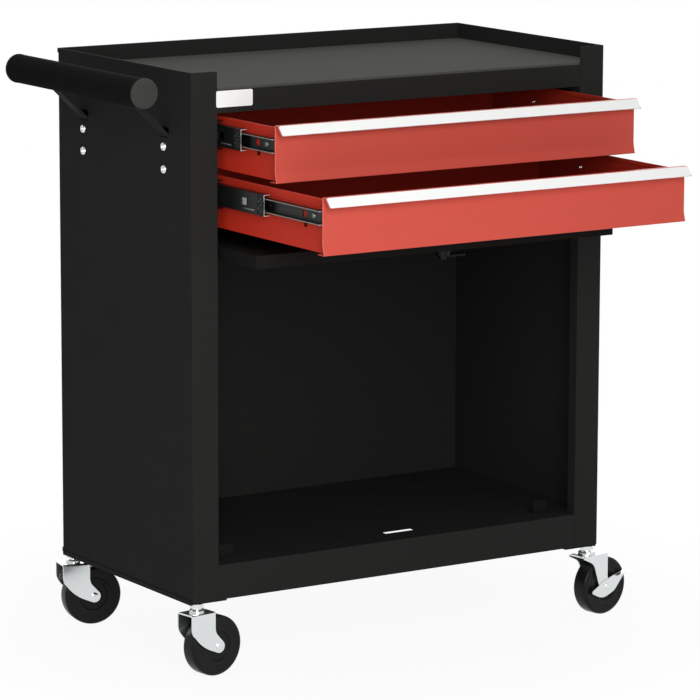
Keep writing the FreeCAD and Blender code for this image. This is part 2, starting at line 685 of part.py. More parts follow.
# Slide carriers: a folded channel behind each stile that the slides are fixed to
carrier_low = PIVOT_HEIGHT + " + guide_height / 2 + seat"
carrier_high = RAIL_FOOT + " - carrier_top_gap"
for side, sign in SIDES:
    carrier = new_body("slide_carrier_" + side)
    channel = [
        (times(sign, STILE_IN), carrier_low),
        (times(sign, SIDE_IN + " - seat"), carrier_low),
        (times(sign, SIDE_IN + " - seat"), carrier_low + " + carrier_flange"),
        (times(sign, SIDE_IN + " - seat - sheet"), carrier_low + " + carrier_flange"),
        (times(sign, SIDE_IN + " - seat - sheet"), carrier_low + " + sheet"),
        (times(sign, STILE_IN + " + sheet"), carrier_low + " + sheet"),
        (times(sign, STILE_IN + " + sheet"), carrier_high + " - sheet"),
        (times(sign, SIDE_IN + " - seat - sheet"), carrier_high + " - sheet"),
        (times(sign, SIDE_IN + " - seat - sheet"), carrier_high + " - carrier_flange"),
        (times(sign, SIDE_IN + " - seat"), carrier_high + " - carrier_flange"),
        (times(sign, SIDE_IN + " - seat"), carrier_high),
        (times(sign, STILE_IN), carrier_high),
    ]
    add_block(carrier, "XZ_Plane", channel, FRONT + " + stile_return + seat", BACK_IN + " - seat")
    if side == "left":
        for place_y in ("-bracket_spread / 2", "bracket_spread / 2"):
            room = rectangle(
                place_y + " - bracket_width / 2 - 2", SLOT_Z + " - bracket_leg - 6",
                place_y + " + bracket_width / 2 + 2", TOP)
            cut_block(carrier, "YZ_Plane", room, "-body_width / 2", "-" + SIDE_IN + " + 12")


# Door guides: channels under the slide carriers that the door shoes run in
guide_open = "(" + STILE_IN + " + guide_setback)"
guide_shut = "(" + STILE_IN + " + guide_setback + guide_depth)"
for side, sign in SIDES:
    guide = new_body("door_guide_" + side)
    half = "guide_height / 2"
    section = [
        (times(sign, guide_open), half),
        (times(sign, guide_shut), half),
        (times(sign, guide_shut), "-" + half),
        (times(sign, guide_open), "-" + half),
        (times(sign, guide_open), "-" + half + " + guide_lip"),
        (times(sign, guide_open + " + guide_wall"), "-" + half + " + guide_lip"),
        (times(sign, guide_open + " + guide_wall"), "-" + half + " + guide_wall"),
        (times(sign, guide_shut + " - guide_wall"), "-" + half + " + guide_wall"),
        (times(sign, guide_shut + " - guide_wall"), half + " - guide_wall"),
        (times(sign, guide_open + " + guide_wall"), half + " - guide_wall"),
        (times(sign, guide_open + " + guide_wall"), half + " - guide_lip"),
        (times(sign, guide_open), half + " - guide_lip"),
    ]
    add_block(guide, "XZ_Plane", section, FRONT + " + 3", BACK_IN + " - 2.5")
    place(guide, "0", "0", PIVOT_HEIGHT)


# Door stops: two small angles on the compartment floor
stop_pieces = []
stop_front = FRONT + " + door_recess + door_depth + seat"
for side, sign in SIDES:
    stop = new_body("door_stop_" + side, keep=False)
    section = [
        (stop_front, FLOOR + " + seat"),
        (stop_front + " + stop_foot", FLOOR + " + seat"),
        (stop_front + " + stop_foot", FLOOR + " + seat + 1.2"),
        (stop_front + " + 1.2", FLOOR + " + seat + 1.2"),
        (stop_front + " + 1.2", FLOOR + " + stop_height"),
        (stop_front, FLOOR + " + stop_height"),
    ]
    centre = times(sign, STILE_IN + " - stop_offset + stop_width / 4")
    add_block(stop, "YZ_Plane", section, centre + " - stop_width / 2", centre + " + stop_width / 2")
    stop_pieces.append(stop)
grouped("door_stops", stop_pieces)


# Telescopic slides: fixed, travelling and drawer members with ball cages between them
U_OUTER = "seat"
U_CAGE_ONE = "(seat + member_wall + race_gap)"
U_MIDDLE = "(seat + member_wall + 2 * race_gap + cage_web)"
U_CAGE_TWO = "(seat + 2 * member_wall + 3 * race_gap + cage_web)"
U_INNER = "(seat + 2 * member_wall + 4 * race_gap + 2 * cage_web + 0.2)"
U_FAR = "(seat + slide_thickness)"


def channel_outline(near_u, far_u, height, wall, web_far):
    """Return a channel section; web_far puts its web on the drawer side."""
    half = height + " / 2"
    if web_far:
        return [
            (near_u, half), (far_u, half), (far_u, "-" + half), (near_u, "-" + half),
            (near_u, "-" + half + " + " + wall), (far_u + " - " + wall, "-" + half + " + " + wall),
            (far_u + " - " + wall, half + " - " + wall), (near_u, half + " - " + wall),
        ]
    return [
        (near_u, half), (far_u, half), (far_u, half + " - " + wall),
        (near_u + " + " + wall, half + " - " + wall),
        (near_u + " + " + wall, "-" + half + " + " + wall),
        (far_u, "-" + half + " + " + wall), (far_u, "-" + half), (near_u, "-" + half),
    ]


def slide_place(body, sign, front, middle):
    """Set a slide piece against its carrier; the right hand ones face the other way."""
    place(body, times(sign, STILE_IN), front, middle)
    if sign > 0:
        body.Placement = FreeCAD.Placement(body.Placement.Base, FreeCAD.Rotation(ALONG, 180.0))


DRAWERS = (("upper", UPPER_TOP, "upper_out"), ("lower", LOWER_TOP, "lower_out"))

for drawer, drawer_top, pulled in DRAWERS:
    centre = drawer_top + " - slide_drop"
    cages = {"outer": [], "inner": []}
    for side, sign in SIDES:
        stem = drawer + "_" + side + "_slide_"

        fixed = new_body(stem + "fixed")
        section = channel_outline(U_OUTER, U_FAR + " - 1", "outer_height", "member_wall", False)
        add_block(fixed, "XZ_Plane", section, "0", "slide_length")
        holes = [(("fixing_front", "0"), "fixing_hole / 2"),
                 (("slide_length - fixing_rear", "0"), "fixing_hole / 2")]
        cut_block(fixed, "YZ_Plane", None, U_OUTER + " - 1", U_OUTER + " + member_wall + 0.5", holes)
        slide_place(fixed, sign, FRONT + " + slide_front", centre)

        travelling = new_body(stem + "middle")
        section = channel_outline(U_MIDDLE, U_FAR + " - 1.5", "middle_height", "member_wall", False)
        add_block(travelling, "XZ_Plane", section, "0", "middle_length")
        access = rectangle("access_place - access_length / 2", "-access_height / 2",
                           "access_place + access_length / 2", "access_height / 2")
        cut_block(travelling, "YZ_Plane", access, U_MIDDLE + " - 1", U_MIDDLE + " + member_wall + 0.5",
                  [(("latch_place", "0"), "latch_hole / 2")])
        slide_place(travelling, sign, FRONT + " + middle_front - " + pulled + " / 2", centre)

        drawn = new_body(stem + "inner")
        section = channel_outline(U_INNER, U_FAR, "inner_height", "member_wall", True)
        add_block(drawn, "XZ_Plane", section, "0", "inner_length")
        holes = [(("lock_place", "0"), "lock_hole / 2"), (("screw_front", "0"), "screw_hole / 2"),
                 (("screw_rear", "0"), "screw_hole / 2"), (("pilot_place", "0"), "pilot_hole / 2")]
        cut_block(drawn, "YZ_Plane", None, U_FAR + " - member_wall - 0.5", U_FAR + " + 1", holes)
        slide_place(drawn, sign, FRONT + " + sheet + seat + inner_setback - " + pulled, centre)

        for kind, near_u, high, low, share in (
                ("outer", U_CAGE_ONE, "outer_height / 2 - member_wall - race_gap",
                 "middle_height / 2 + race_gap", 0.25),
                ("inner", U_CAGE_TWO, "middle_height / 2 - member_wall - race_gap",
                 "inner_height / 2 + race_gap", 0.75)):
            cage = new_body(drawer + "_" + side + "_cage_" + kind, keep=False)
            far_u = U_FAR + " - 2.2"
            web = near_u + " + cage_web"
            section = [
                (near_u, high), (far_u, high), (far_u, low), (web, low),
                (web, "-(" + low + ")"), (far_u, "-(" + low + ")"),
                (far_u, "-(" + high + ")"), (near_u, "-(" + high + ")"),
            ]
            add_block(cage, "XZ_Plane", section, "0", "cage_length")
            slide_place(cage, sign, FRONT + " + cage_front - " + str(share) + " * " + pulled, centre)
            cages[kind].append(cage)
    grouped(drawer + "_outer_cages", cages["outer"])
    grouped(drawer + "_inner_cages", cages["inner"])


# Drawers: folded box, folded front with a turned-over nose, and the pale trim on it
box_half = "(" + STILE_IN + " - slide_thickness - 2 * seat)"
front_half = "(" + STILE_IN + " - front_side_gap)"
NOSE_RUN = "(nose_reach - nose_flat)"
NOSE_SLOPE = "sqrt((nose_reach - nose_flat)^2 + nose_drop^2)"


def on_nose(down, proud):
    """Return a point down the sloped pull and so far out from its face."""
    return ("-nose_flat - ((" + down + ") * " + NOSE_RUN + " + (" + proud + ") * nose_drop) / " + NOSE_SLOPE,
            "((" + proud + ") * " + NOSE_RUN + " - (" + down + ") * nose_drop) / " + NOSE_SLOPE)


for drawer, drawer_top, pulled in DRAWERS:
    out = FRONT + " - " + pulled
    foot = "-front_height"

    box = new_body(drawer + "_drawer_box")
    box_low = "-front_height + sheet + seat"
    box_high = "-front_height + sheet + seat + box_height"
    inner_half = box_half + " - box_wall"
    add_block(box, "XY_Plane",
              rectangle("-" + box_half, "sheet + seat", box_half, "sheet + seat + box_length"),
              box_low, box_high)
    cut_block(box, "XY_Plane",
              rectangle("-" + box_half + " + box_wall", "sheet + seat + box_wall",
                        inner_half, "sheet + seat + box_length - box_wall"),
              box_low + " + box_wall", box_high + " - box_hem_height")
    cut_block(box, "XY_Plane",
              rectangle("-" + box_half + " + box_hem", "sheet + seat + box_hem",
                        box_half + " - box_hem", "sheet + seat + box_length - box_hem"),
              box_high + " - box_hem_height - 1", box_high + " + 1")
    notch_z = "-slide_drop - notch_drop"
    notch = rectangle("notch_place - notch_length / 2", notch_z + " - notch_height / 2",
                      "notch_place + notch_length / 2", notch_z + " + notch_height / 2")
    cut_block(box, "YZ_Plane", notch, "-" + box_half + " - 1", box_half + " + 1")
    place(box, "0", out, drawer_top)

    front = new_body(drawer + "_drawer_front")
    section = [
        ("-nose_reach", "-nose_drop"),
        ("-nose_flat", "0"),
        ("sheet", "0"),
        ("sheet", foot + " + flare_height"),
        ("sheet - flare_depth", foot + " + sheet"),
        ("foot_flange", foot + " + sheet"),
        ("foot_flange", foot),
        ("-flare_depth", foot),
        ("0", foot + " + flare_height"),
        ("0", "-sheet"),
        ("-nose_flat + sheet * 0.4", "-sheet"),
        on_nose(NOSE_SLOPE, "-sheet"),
    ]
    folded_front = add_block(front, "YZ_Plane", section, "-" + front_half, front_half)
    round_corners(front, folded_front, (3, 8), "flare_bend")
    round_corners(front, folded_front, (1, 7), "bend_radius")
    place(front, "0", out, drawer_top)

    trim = new_body(drawer + "_drawer_trim")
    cover = [
        on_nose("trim_start", "seat"),
        on_nose(NOSE_SLOPE + " + trim_lap", "seat"),
        on_nose(NOSE_SLOPE + " + trim_lap", "seat + trim_thickness"),
        on_nose("trim_start + trim_thickness / 3", "seat + trim_thickness"),
    ]
    trim_half = front_half + " - trim_inset"
    add_block(trim, "YZ_Plane", cover, "-(" + trim_half + ")", trim_half)
    short = size("trim_thickness") * 1.2
    ends = edges_where(trim, lambda a, b: near(a.x, b.x) and a.distanceToPoint(b) < short)
    round_edges(trim, ends, "trim_corner")
    place(trim, "0", out, drawer_top)


# Receding door: a folded pan that lies under the drawers when it is stowed
door_front = "(" + DOOR_BACK + " - " + DOOR_LENGTH + ")"
face_high = "door_depth / 2"
door_panel = new_body("door_panel")
add_block(door_panel, "XY_Plane",
          rectangle("-" + DOOR_HALF, door_front, DOOR_HALF, DOOR_BACK),
          "-" + face_high, face_high)
cut_block(door_panel, "XY_Plane",
          rectangle("-" + DOOR_HALF + " + sheet", door_front + " + sheet",
                    DOOR_HALF + " - sheet", DOOR_BACK + " - sheet"),
          "-" + face_high + " + sheet", face_high + " - sheet")
cut_block(door_panel, "XY_Plane",
          rectangle("-" + DOOR_HALF + " + door_lip", door_front + " + door_lip",
                    DOOR_HALF + " - door_lip", DOOR_BACK + " - door_lip"),
          "-" + face_high + " - 1", "-" + face_high + " + sheet + 1")
cut_block(door_panel, "YZ_Plane", None, "-" + DOOR_HALF + " - 1", DOOR_HALF + " + 1",
          [((PIVOT_BACK, "0"), "pin_radius + pin_clearance")])
cut_block(door_panel, "XY_Plane", None, face_high + " - sheet - 1", face_high + " + 1",
          [(("lock_side", door_front + " + lock_edge"), "lock_radius + pin_clearance")])
place(door_panel, "0", "0", PIVOT_HEIGHT)
doc.recompute()
door_face = size("door_depth") / 2
outer_fold = edges_where(door_panel, lambda a, b: near(a.z, door_face) and near(b.z, door_face)
                         and a.distanceToPoint(b) > 100)
round_edges(door_panel, outer_fold, "bend_radius")


# Door shoes: nylon blocks in the guides with a stub pin through the door's edge
for side, sign in SIDES:
    shoe = new_body("door_shoe_" + side)
    block_near = guide_open + " + guide_wall + shoe_clearance"
    block_far = guide_shut + " - guide_wall - shoe_clearance"
    block_half = "(guide_height / 2 - guide_wall - shoe_clearance)"
    low, high = (block_near, block_far) if sign > 0 else (
        "-(" + block_far + ")", "-(" + block_near + ")")
    add_block(shoe, "YZ_Plane",
              rectangle("-shoe_length / 2", "-" + block_half, "shoe_length / 2", block_half),
              low, high)
    neck_low, neck_high = (DOOR_HALF + " + seat", block_near + " + 1") if sign > 0 else (
        "-(" + block_near + " + 1)", "-(" + DOOR_HALF + " + seat)")
    add_block(shoe, "YZ_Plane", None, neck_low, neck_high,
              [(("0", "0"), "guide_height / 2 - guide_lip - 0.4")])
    pin_low, pin_high = (DOOR_HALF + " - 4", DOOR_HALF + " + seat + 1") if sign > 0 else (
        "-(" + DOOR_HALF + " + seat + 1)", "-(" + DOOR_HALF + " - 4)")
    add_block(shoe, "YZ_Plane", None, pin_low, pin_high, [(("0", "0"), "pin_radius")])
    place(shoe, "0", PIVOT_BACK, PIVOT_HEIGHT)


# Door lock: barrel through the door face and the cam it turns
lock_barrel = new_body("lock_barrel")
barrel = [
    ("0", "seat + 2.6"), ("lock_flange - 1.4", "seat + 2.6"), ("lock_flange", "seat + 1.2"),
    ("lock_flange", "seat"), ("lock_radius", "seat"), ("lock_radius", "-lock_length"),
    ("0", "-lock_length"),
]
add_turned(lock_barrel, "XZ_Plane", barrel, "V_Axis")
place(lock_barrel, "lock_side", door_front + " + lock_edge", PIVOT_HEIGHT + " + " + face_high)

lock_cam = new_body("lock_cam")
add_block(lock_cam, "XY_Plane",
          rectangle("-cam_width / 2", "-cam_width / 2", "cam_length", "cam_width / 2"),
          "-cam_thickness", "0")
add_block(lock_cam, "XY_Plane", None, "-cam_thickness - 3.2", "-cam_thickness / 2",
          [(("0", "0"), "4.2")])
doc.recompute()
cam_half = size("cam_width") / 2
cam_ends = edges_where(lock_cam, lambda a, b: near(a.x, b.x) and near(a.y, b.y)
                       and near(abs(a.y), cam_half))
round_edges(lock_cam, cam_ends, "cam_width / 4")
place(lock_cam, "lock_side", door_front + " + lock_edge",
      PIVOT_HEIGHT + " + " + face_high + " - lock_length - race_gap * 2")


# Handle: brackets through the side panel, a steel core, the grip and its caps
reach = "(core_radius + seat)"
for end, sign in (("front", -1), ("rear", 1)):
    bracket = new_body("handle_bracket_" + end)
    leg = "(-" + SIDE_IN + " + seat)"
    slope = "tan(bracket_angle)"
    across = "(bracket_thickness / 2 / cos(bracket_angle))"
    tip_x = HANDLE_X + " + " + reach + " * cos(bracket_angle)"
    tip_z = HANDLE_Z + " - " + reach + " * sin(bracket_angle)"
    side_x = "bracket_thickness / 2 * sin(bracket_angle)"
    side_z = "bracket_thickness / 2 * cos(bracket_angle)"
    strip = [
        (leg, SLOT_Z + " - bracket_leg"),
        (leg, SLOT_Z + " - " + slope + " * (" + leg + " + body_width / 2) - " + across),
        (tip_x + " - " + side_x, tip_z + " - " + side_z),
        (tip_x + " + " + side_x, tip_z + " + " + side_z),
        (leg + " + bracket_thickness",
         SLOT_Z + " - " + slope + " * (" + leg + " + bracket_thickness + body_width / 2) + " + across),
        (leg + " + bracket_thickness", SLOT_Z + " - bracket_leg"),
    ]
    add_block(bracket, "XZ_Plane", strip, "-bracket_width / 2", "bracket_width / 2")
    holes = [(("0", SLOT_Z + " - screw_upper"), "screw_radius + race_gap"),
             (("0", SLOT_Z + " - screw_lower"), "screw_radius + race_gap")]
    cut_block(bracket, "YZ_Plane", None, leg + " - 1", leg + " + bracket_thickness + 1", holes)
    place(bracket, "0", times(sign, "bracket_spread / 2"), "0")

handle_core = new_body("handle_core")
core_ring = [
    ("core_radius - core_wall", "-grip_length / 2 + plug_length"),
    ("core_radius", "-grip_length / 2 + plug_length"),
    ("core_radius", "grip_length / 2 - plug_length"),
    ("core_radius - core_wall", "grip_length / 2 - plug_length"),
]
add_turned(handle_core, "XY_Plane", core_ring, "V_Axis")
place(handle_core, HANDLE_X, "0", HANDLE_Z)

handle_grip = new_body("handle_grip")
grip_ring = [
    ("core_radius + race_gap", "-grip_length / 2"), ("grip_radius", "-grip_length / 2"),
    ("grip_radius", "grip_length / 2"), ("core_radius + race_gap", "grip_length / 2"),
]
add_turned(handle_grip, "XY_Plane", grip_ring, "V_Axis")
for sign in (-1, 1):
    middle = times(sign, "bracket_spread / 2")
    wide = "(bracket_thickness / 2 + 0.3)"
    near_r = "(core_radius - 1)"
    far_r = "(grip_radius + 3)"
    mouth = [
        (near_r + " * cos(bracket_angle) - " + wide + " * sin(bracket_angle)",
         "-" + near_r + " * sin(bracket_angle) - " + wide + " * cos(bracket_angle)"),
        (far_r + " * cos(bracket_angle) - " + wide + " * sin(bracket_angle)",
         "-" + far_r + " * sin(bracket_angle) - " + wide + " * cos(bracket_angle)"),
        (far_r + " * cos(bracket_angle) + " + wide + " * sin(bracket_angle)",
         "-" + far_r + " * sin(bracket_angle) + " + wide + " * cos(bracket_angle)"),
        (near_r + " * cos(bracket_angle) + " + wide + " * sin(bracket_angle)",
         "-" + near_r + " * sin(bracket_angle) + " + wide + " * cos(bracket_angle)"),
    ]
    cut_block(handle_grip, "XZ_Plane", mouth,
              middle + " - bracket_width / 2 - 0.3", middle + " + bracket_width / 2 + 0.3")
place(handle_grip, HANDLE_X, "0", HANDLE_Z)

caps = []
for sign in (-1, 1):
    cap = new_body("grip_cap", keep=False)
    near_y = times(sign, "grip_length / 2 + seat")
    far_y = times(sign, "grip_length / 2 + seat + cap_thickness")
    soft_y = times(sign, "grip_length / 2 + seat + cap_thickness - cap_edge")
    plug_y = times(sign, "grip_length / 2 + seat - plug_length")
    disc = [
        ("0", far_y), ("cap_radius - cap_edge", far_y), ("cap_radius", soft_y), ("cap_radius", near_y),
        ("core_radius - race_gap", near_y), ("core_radius - race_gap", plug_y), ("0", plug_y),
    ]
    add_turned(cap, "XY_Plane", disc, "V_Axis")
    place(cap, HANDLE_X, "0", HANDLE_Z)
    caps.append(cap)
grouped("handle_caps", caps)

screws = []
for sign in (-1, 1):
    for drop in ("screw_upper", "screw_lower"):
        screw = new_body("handle_screw", keep=False)
        head = [
            ("0", "-seat - screw_head_height"), ("screw_head_radius * 0.7", "-seat - screw_head_height"),
            ("screw_head_radius", "-seat - screw_head_height / 2"), ("screw_head_radius", "-seat"),
            ("screw_radius", "-seat"), ("screw_radius", "screw_length"), ("0", "screw_length"),
        ]
        turned_head = [(up, out) for out, up in head]
        add_turned(screw, "XZ_Plane", turned_head, "H_Axis")
        place(screw, "-body_width / 2", times(sign, "bracket_spread / 2"), SLOT_Z + " - " + drop)
        screws.append(screw)
grouped("handle_screws", screws)


# Casters: swept fork, wheel, riveted axle and, on the right, a brake pedal
axle_drop = "(caster_height - wheel_radius - fork_drop)"


def caster_fork(corner, side, end):
    """Build a fork as the meeting of its folded section and its side outline."""
    folded = new_body("fork_folded_" + corner, keep=False)
    half = "fork_width / 2"
    section = [
        ("-" + half, "-" + axle_drop + " - 12"), ("-" + half, "0"), (half, "0"),
        (half, "-" + axle_drop + " - 12"), (FORK_IN, "-" + axle_drop + " - 12"),
        (FORK_IN, "-fork_wall"), ("-" + FORK_IN, "-fork_wall"),
        ("-" + FORK_IN, "-" + axle_drop + " - 12"),
    ]
    add_block(folded, "YZ_Plane", section, "-fork_lead", "caster_trail + fork_eye + 2")
    wide = size("fork_width") / 2
    bends = edges_where(folded, lambda a, b: near(a.z, 0) and near(b.z, 0)
                        and near(abs(a.y), wide) and near(a.y, b.y))
    round_edges(folded, bends, "fork_bend")
    cut_block(folded, "XY_Plane", None, "-fork_wall - 1", "1", [(("0", "0"), "stem_radius + race_gap")])
    outline = new_body("fork_outline_" + corner, keep=False)
    low = "(-" + axle_drop + ")"
    eye_foot = ("caster_trail - fork_eye * 0.39", low + " - fork_eye * 0.92")
    if corner in BRAKED:
        leg = [
            ("-fork_lead", "1"),
            ("braked_tail", "1"),
            ("braked_tail", low + " + fork_throat * 0.68"),
            ("caster_trail + fork_eye * 0.75", low + " + fork_eye * 0.66"),
            ("caster_trail", low),
            eye_foot,
            ("braked_toe", low + " + fork_eye * 0.2"),
            ("-braked_waist", "-braked_waist_drop"),
            ("-fork_lead", "-braked_shoulder"),
        ]
    else:
        leg = [
            ("-fork_lead", "1"),
            ("fork_tail", "1"),
            ("fork_tail", low + " + fork_throat"),
            ("caster_trail + fork_eye * 0.75", low + " + fork_eye * 0.66"),
            ("caster_trail", low),
            eye_foot,
            ("-fork_belly", low + " + fork_belly_rise"),
            ("-fork_lead", low + " + fork_chin_rise"),
        ]
    plate = add_block(outline, "XZ_Plane", leg, "-fork_width", "fork_width")
    if corner in BRAKED:
        round_corners(outline, plate, (7,), "braked_hollow")
        round_corners(outline, plate, (2, 6), "fork_eye * 0.6")
    else:
        round_corners(outline, plate, (2,), "fork_tail * 0.8")
        round_corners(outline, plate, (6,), "fork_sweep")
        round_corners(outline, plate, (7,), "fork_chin")
    add_block(outline, "XZ_Plane", None, "-fork_width", "fork_width",
              [(("caster_trail", low), "fork_eye")])
    cut_block(outline, "XZ_Plane", None, "-fork_width - 1", "fork_width + 1",
              [(("caster_trail", low), "axle_radius + race_gap")])
    fork = doc.addObject("Part::Common", "caster_fork_" + corner)
    fork.Label = "caster_fork_" + corner
    fork.Base = folded
    fork.Tool = outline
    stem_x, stem_y = stem_place(side, end)
    place(fork, stem_x, stem_y, FORK_TOP)
    turn(fork, UP, "swivel_" + corner)
    FINISHED.append(fork)


def axle_place(body, corner, side, end):
    """Set a piece at the axle of a caster, turned with its fork."""
    stem_x, stem_y = stem_place(side, end)
    place(body, stem_x + " + caster_trail * cos(swivel_" + corner + ")",
          stem_y + " + caster_trail * sin(swivel_" + corner + ")", AXLE_Z)
    turn(body, UP, "swivel_" + corner)


def caster_wheel(corner, side, end):
    """Build a wheel with a rounded tread, a ring on each face and a hub."""
    wheel = new_body("caster_wheel_" + corner)
    half = "wheel_width / 2"
    hub = "(" + FORK_IN + " - race_gap * 3)"
    flat = "(" + half + " - rim_recess)"
    face = [
        ("axle_radius + race_gap", hub), ("hub_radius", hub), ("hub_radius", flat),
        ("rim_radius - rim_recess", flat), ("rim_radius", half),
        ("wheel_radius - wheel_shoulder", half),
        ("wheel_radius - wheel_shoulder * 0.3", "(" + half + " - wheel_shoulder * 0.3)"),
        ("wheel_radius", "(" + half + " - wheel_shoulder)"),
    ]
    profile = face + [(radius, times(-1, height)) for radius, height in reversed(face)]
    add_turned(wheel, "XY_Plane", profile, "V_Axis")
    axle_place(wheel, corner, side, end)


def caster_axle(corner, side, end):
    """Build the riveted axle; a braked caster has a longer one for its pedal."""
    axle = new_body("caster_axle_" + corner)
    outside = "-fork_width / 2 - race_gap"
    if corner in BRAKED:
        outside = "-fork_width / 2 - pedal_thickness - race_gap * 2"
    far = "fork_width / 2 + race_gap"
    profile = [
        ("0", outside + " - axle_head_height"), ("axle_radius", outside + " - axle_head_height"),
        ("axle_head_radius", outside), ("axle_radius", outside), ("axle_radius", far),
        ("axle_head_radius", far), ("axle_radius", far + " + axle_head_height"),
        ("0", far + " + axle_head_height"),
    ]
    add_turned(axle, "XY_Plane", profile, "V_Axis")
    axle_place(axle, corner, side, end)


def brake_pedal(corner, side, end):
    """Build a leaf-shaped pedal that turns on the axle outside the fork."""
    pedal = new_body("brake_pedal_" + corner)
    lean_x = "cos(pedal_rise)"
    lean_z = "sin(pedal_rise)"

    def leaned(along, across):
        return ("(" + along + ") * " + lean_x + " - (" + across + ") * " + lean_z,
                "(" + along + ") * " + lean_z + " + (" + across + ") * " + lean_x)

    leaf = [
        leaned("-pedal_back", "pedal_tip"),
        leaned("-pedal_back * 0.45", "-pedal_belly"),
        leaned("pedal_front * 0.2", "-pedal_belly"),
        leaned("pedal_front", "pedal_tip"),
        leaned("pedal_front * 0.3", "pedal_brow"),
        leaned("-pedal_back * 0.2", "pedal_brow"),
    ]
    near_y = "-fork_width / 2 - race_gap"
    far_y = "-fork_width / 2 - race_gap - pedal_thickness"
    plate = add_block(pedal, "XZ_Plane", leaf, far_y, near_y)
    round_corners(pedal, plate, (0, 3), "pedal_belly / 4")
    round_corners(pedal, plate, (1, 2), "pedal_belly * 2")
    round_corners(pedal, plate, (4, 5), "pedal_belly * 2")
    tread = [
        leaned("pedal_front * 0.38", "pedal_brow - 0.6"),
        leaned("pedal_front * 0.76", "pedal_tip + 1"),
        leaned("pedal_front * 0.76", "pedal_tip + 1 - pedal_thickness"),
        leaned("pedal_front * 0.38", "pedal_brow - 0.6 - pedal_thickness"),
    ]
    add_block(pedal, "XZ_Plane", tread, far_y + " - pedal_lip", near_y)
    cut_block(pedal, "XZ_Plane", None, far_y + " - 1", near_y + " + 1",
              [(("0", "0"), "axle_radius + race_gap")])
    axle_place(pedal, corner, side, end)


for corner, side, end in CORNERS:
    caster_fork(corner, side, end)
    caster_wheel(corner, side, end)
    caster_axle(corner, side, end)
    if corner in BRAKED:
        brake_pedal(corner, side, end)


# Check every piece, then write one file for each
doc.recompute()
for item in doc.Objects:
    for word in ("Invalid", "Error"):
        if word in item.State:
            raise RuntimeError(item.Label + " is " + word)
for piece in FINISHED:
    shape = piece.Shape
    if shape.isNull() or not shape.isValid() or not shape.Solids:
        raise RuntimeError(piece.Label + " has no sound solid")
    shape.exportStep("parts/" + piece.Label + ".step")
    print(piece.Label, len(shape.Solids), round(shape.Volume, 1))
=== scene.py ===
"""A rolling tool cabinet, dressed for its studio view.

It has two drawers on telescopic slides, a receding door, a push handle and swivel casters. Lengths are metres
in the frame of the CAD model: +Z up, -Y out of the front, origin on the mat.
"""

from __future__ import annotations

import json
import logging
import math
from dataclasses import dataclass, field
from enum import Enum
from typing import Any, Callable, Sequence

import bmesh
import bpy
from mathutils import Euler, Matrix, Vector


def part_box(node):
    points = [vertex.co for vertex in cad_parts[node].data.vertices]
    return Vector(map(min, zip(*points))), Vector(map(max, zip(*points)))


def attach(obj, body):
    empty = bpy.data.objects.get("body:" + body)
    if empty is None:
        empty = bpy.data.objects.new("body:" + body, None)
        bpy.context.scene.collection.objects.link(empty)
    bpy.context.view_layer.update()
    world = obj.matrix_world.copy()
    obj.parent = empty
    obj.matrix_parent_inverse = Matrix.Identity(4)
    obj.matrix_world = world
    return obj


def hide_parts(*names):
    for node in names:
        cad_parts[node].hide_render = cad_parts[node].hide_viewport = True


LOG = logging.getLogger("tool_cabinet")
MM = 0.001
# Edges that turn by more than this many degrees stay crisp
CRISP = 32.0
Piece = bpy.types.Object
Tree = bpy.types.NodeTree
Point = tuple[float, float, float]
Outline = Sequence[tuple[float, float]]
FaceTest = Callable[[bpy.types.MeshPolygon], bool]


class Axis(Enum):
    """A direction that outlines are drawn out along: across the outline, up it, and along the axis."""

    Y = (Vector((1, 0, 0)), Vector((0, 0, 1)), Vector((0, 1, 0)))
    Z = (Vector((1, 0, 0)), Vector((0, 1, 0)), Vector((0, 0, 1)))


class Hand(Enum):
    """The side of the cabinet, seen from its front."""

    LEFT = -1
    RIGHT = 1

    @property
    def word(self) -> str:
        """The word that the CAD nodes use for this side."""
        return self.name.lower()


# Materials

# The rays that see the white background: the camera's, and those that metal and glass pass on
SHOWN = ("Is Camera Ray", "Is Transmission Ray", "Is Glossy Ray")


def linear(code: str) -> tuple[float, float, float, float]:
    """Turn an sRGB hex colour to linear light.

    Args:
        code: six hex digits.

    Returns:
        Red, green, blue and an alpha of 1.
    """
    parts = [int(code[i:i + 2], 16) / 255 for i in (0, 2, 4)]
    bright = [p / 12.92 if p <= 0.04045 else ((p + 0.055) / 1.055) ** 2.4 for p in parts]
    return (bright[0], bright[1], bright[2], 1.0)


def add_node(tree: Tree, kind: str, settings: dict[str, Any] | None = None,
             links: dict[str, Any] | None = None) -> bpy.types.Node:
    """Add a node with its settings and the links into it.

    Args:
        tree: the node tree.
        kind: the node's type name.
        settings: values by attribute name, or by input name or number where it has one.
        links: sockets to join, by input name or number.

    Returns:
        The new node.
    """
    node = tree.nodes.new(kind)
    for name, value in (settings or {}).items():
        if isinstance(name, str) and hasattr(node, name):
            setattr(node, name, value)
        else:
            node.inputs[name].default_value = value
    for name, socket in (links or {}).items():
        tree.links.new(socket, node.inputs[name])
    return node


def seen_by(tree: Tree, *kinds: str) -> Any:
    """Tell some kinds of light ray from the rest.

    Args:
        tree: the node tree.
        kinds: outputs of the Light Path node.

    Returns:
        A socket that is 1 for those kinds and 0 for the others.
    """
    rays = add_node(tree, "ShaderNodeLightPath").outputs
    found = rays[kinds[0]]
    for kind in kinds[1:]:
        either = add_node(tree, "ShaderNodeMath", {"operation": "MAXIMUM"}, {0: found, 1: rays[kind]})
        found = either.outputs[0]
    return found


